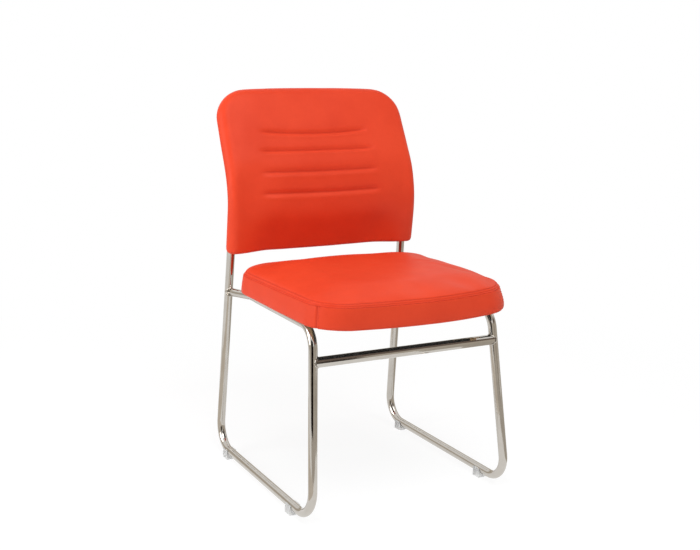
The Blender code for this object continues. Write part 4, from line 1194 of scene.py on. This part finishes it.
def clear_plastic(g):
    """Milky translucent plastic of the glides, scuffed."""
    scuff = g.noise(420, 4, 0.7)
    rough = g.math("MULTIPLY_ADD", scuff, 0.2, 0.28)
    colour = g.ramp(scuff, (0.3, 0.7), GLIDE_TONES)
    g.shade(colour, rough, [(scuff, 0.15, 0.0003)], Transmission_Weight=0.5, IOR=1.46)


def black_plastic(g):
    """Moulded black plastic with a fine texture."""
    texture = g.noise(1200, 2, 0.6)
    rough = g.math("MULTIPLY_ADD", texture, 0.2, 0.4)
    g.shade(g.ramp(texture, (0.3, 0.7), PLASTIC_TONES), rough, [(texture, 0.3, 0.0002)])


MAKERS = (leather, thread, chrome, steel, plywood, black_cloth, clear_plastic, black_plastic)
materials = {}


def make_materials():
    """Makes each material under its maker's name."""
    for maker in MAKERS:
        graph = Graph(maker.__name__)
        maker(graph)
        materials[maker.__name__] = graph.material


def dress(thing, name):
    """Gives a piece its material."""
    thing.data.materials.clear()
    thing.data.materials.append(materials[name])


def finish(thing, name, *nodes):
    """Gives a piece its material, its body and the nodes that it stands for."""
    dress(thing, name)
    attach(thing, "root")
    if nodes:
        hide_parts(*nodes)


def dress_nodes():
    """Gives every CAD node that stays its material."""
    slots = {entry["node"]: entry["material_slot"] for entry in frame["record"]["subparts"]}
    for name, node in frame["nodes"].items():
        if not node.hide_render:
            dress(node, slots[name])


# Stage

def empty_tree(owner):
    """Returns the cleared node tree of a material or a world."""
    owner.use_nodes = True
    owner.node_tree.nodes.clear()
    return owner.node_tree


def plain(tree, kind, colour, **others):
    """Returns a shader of one plain colour."""
    return add_node(tree, kind, {"Color": (*colour, 1), **others}).outputs[0]


def mixed(tree, share, first, second):
    """Returns two shaders mixed."""
    return add_node(tree, "ShaderNodeMixShader", {0: share, 1: first, 2: second}).outputs[0]


def show(tree, shader, kind="ShaderNodeOutputMaterial"):
    """Links a shader to the tree's output."""
    add_node(tree, kind, {"Surface": shader})


def seen_rays(tree):
    """Returns 1 for camera, glossy and transmission rays and 0 for others."""
    path = add_node(tree, "ShaderNodeLightPath", {})
    total = path.outputs["Is Camera Ray"]
    for name in ("Is Glossy Ray", "Is Transmission Ray"):
        inputs = {0: total, 1: path.outputs[name]}
        total = add_node(tree, "ShaderNodeMath", inputs, operation="MAXIMUM").outputs[0]
    return total


def away_from_chair(tree):
    """Returns a share that eases from 0 near the chair to 1 further out."""
    place = add_node(tree, "ShaderNodeTexCoord", {}).outputs["Object"]
    length = add_node(tree, "ShaderNodeVectorMath", {0: place}, operation="LENGTH")
    low, high = FLOOR_FADE
    inputs = {"Value": length.outputs["Value"], "From Min": low, "From Max": high}
    away = add_node(tree, "ShaderNodeMapRange", inputs, interpolation_type="SMOOTHSTEP")
    return away.outputs["Result"]


def make_floor():
    """Makes the white floor, which keeps a soft shadow round the chair."""
    bpy.ops.mesh.primitive_plane_add(size=FLOOR_SIZE)
    floor = bpy.context.object
    floor.name = "floor"
    material = bpy.data.materials.new("floor")
    tree = empty_tree(material)
    glow = plain(tree, "ShaderNodeEmission", FLOOR_GLOW)
    shade = plain(tree, "ShaderNodeBsdfDiffuse", FLOOR_SHADE)
    near = add_node(tree, "ShaderNodeAddShader", {0: glow, 1: shade}).outputs[0]
    white = plain(tree, "ShaderNodeEmission", WHITE)
    seen = mixed(tree, away_from_chair(tree), near, white)
    paint = plain(tree, "ShaderNodeBsdfDiffuse", FLOOR_PAINT)
    show(tree, mixed(tree, seen_rays(tree), paint, seen))
    floor.data.materials.append(material)


def make_world():
    """Makes the white surroundings with their plain soft light."""
    world = bpy.data.worlds.new("studio")
    bpy.context.scene.world = world
    tree = empty_tree(world)
    light = plain(tree, "ShaderNodeBackground", WHITE, Strength=WORLD_STRENGTH)
    white = plain(tree, "ShaderNodeBackground", WHITE)
    show(tree, mixed(tree, seen_rays(tree), light, white), "ShaderNodeOutputWorld")


def aim(thing, place, target, axis):
    """Puts a thing at a place with one of its axes towards a target."""
    thing.location = place
    thing.rotation_mode = "QUATERNION"
    thing.rotation_quaternion = (Vector(target) - Vector(place)).to_track_quat(axis, "Y")


def make_lamp(name, place, target, size, power):
    """Makes one soft lamp that points at a place."""
    data = bpy.data.lights.new(name, "AREA")
    data.shape = "RECTANGLE"
    data.size, data.size_y = size
    data.energy = power
    lamp = bpy.data.objects.new(name, data)
    bpy.context.scene.collection.objects.link(lamp)
    aim(lamp, place, target, "-Z")


def only_reflected(thing, name, tone):
    """Gives a stage piece one plain glowing tone, which only reflections show: a painted reflection.
    """
    thing.name = name
    material = bpy.data.materials.new(name)
    tree = empty_tree(material)
    # Painted reflection: the piece glows in its tone.
    show(tree, plain(tree, "ShaderNodeEmission", tone))
    thing.data.materials.append(material)
    thing.visible_camera = False
    thing.visible_diffuse = False
    thing.visible_shadow = False
    thing.visible_transmission = False


def make_wall():
    """Makes a round grey glowing wall for the studio, which only the chrome and the leather's gloss
    show: a painted reflection.
    """
    bpy.ops.mesh.primitive_cylinder_add(
        vertices=64, radius=WALL_RADIUS, depth=WALL_HEIGHT, end_fill_type="NOTHING",
        location=(0, 0, WALL_HEIGHT / 2 + WALL_FOOT))
    only_reflected(bpy.context.object, "painted_reflection_wall", WALL_TONE)


def make_card(name, place, target, size, tone):
    """Makes one glowing card, which shows only as a painted reflection, a band in the chrome."""
    bpy.ops.mesh.primitive_plane_add(size=1)
    card = bpy.context.object
    card.scale = (*size, 1)
    aim(card, place, target, "Z")
    only_reflected(card, name, tone)


def make_camera():
    """Makes the camera at the photograph's place."""
    data = bpy.data.cameras.new("camera")
    data.sensor_width = SENSOR_WIDTH
    data.lens = FOCAL_PIXELS * SENSOR_WIDTH / PICTURE_WIDTH
    camera = bpy.data.objects.new("camera", data)
    bpy.context.scene.collection.objects.link(camera)
    x, y, z = CAMERA_PLACE
    matrix = Matrix.Translation((x, y + SHIFT, z))
    for angle, axis in CAMERA_TURNS:
        matrix = matrix @ Matrix.Rotation(math.radians(angle), 4, axis)
    camera.matrix_world = matrix
    bpy.context.scene.camera = camera


def make_stage():
    """Makes floor, surroundings, lamps, the wall and cards of painted reflections, and camera."""
    make_floor()
    make_world()
    for lamp in LAMPS:
        make_lamp(*lamp)
    make_wall()
    for card in CARDS:
        make_card(*card)
    make_camera()
    bpy.context.scene.view_settings.view_transform = "Standard"


make_materials()
make_frame()
make_seat()
make_back()
make_rear_panel()
dress_nodes()
make_stage()
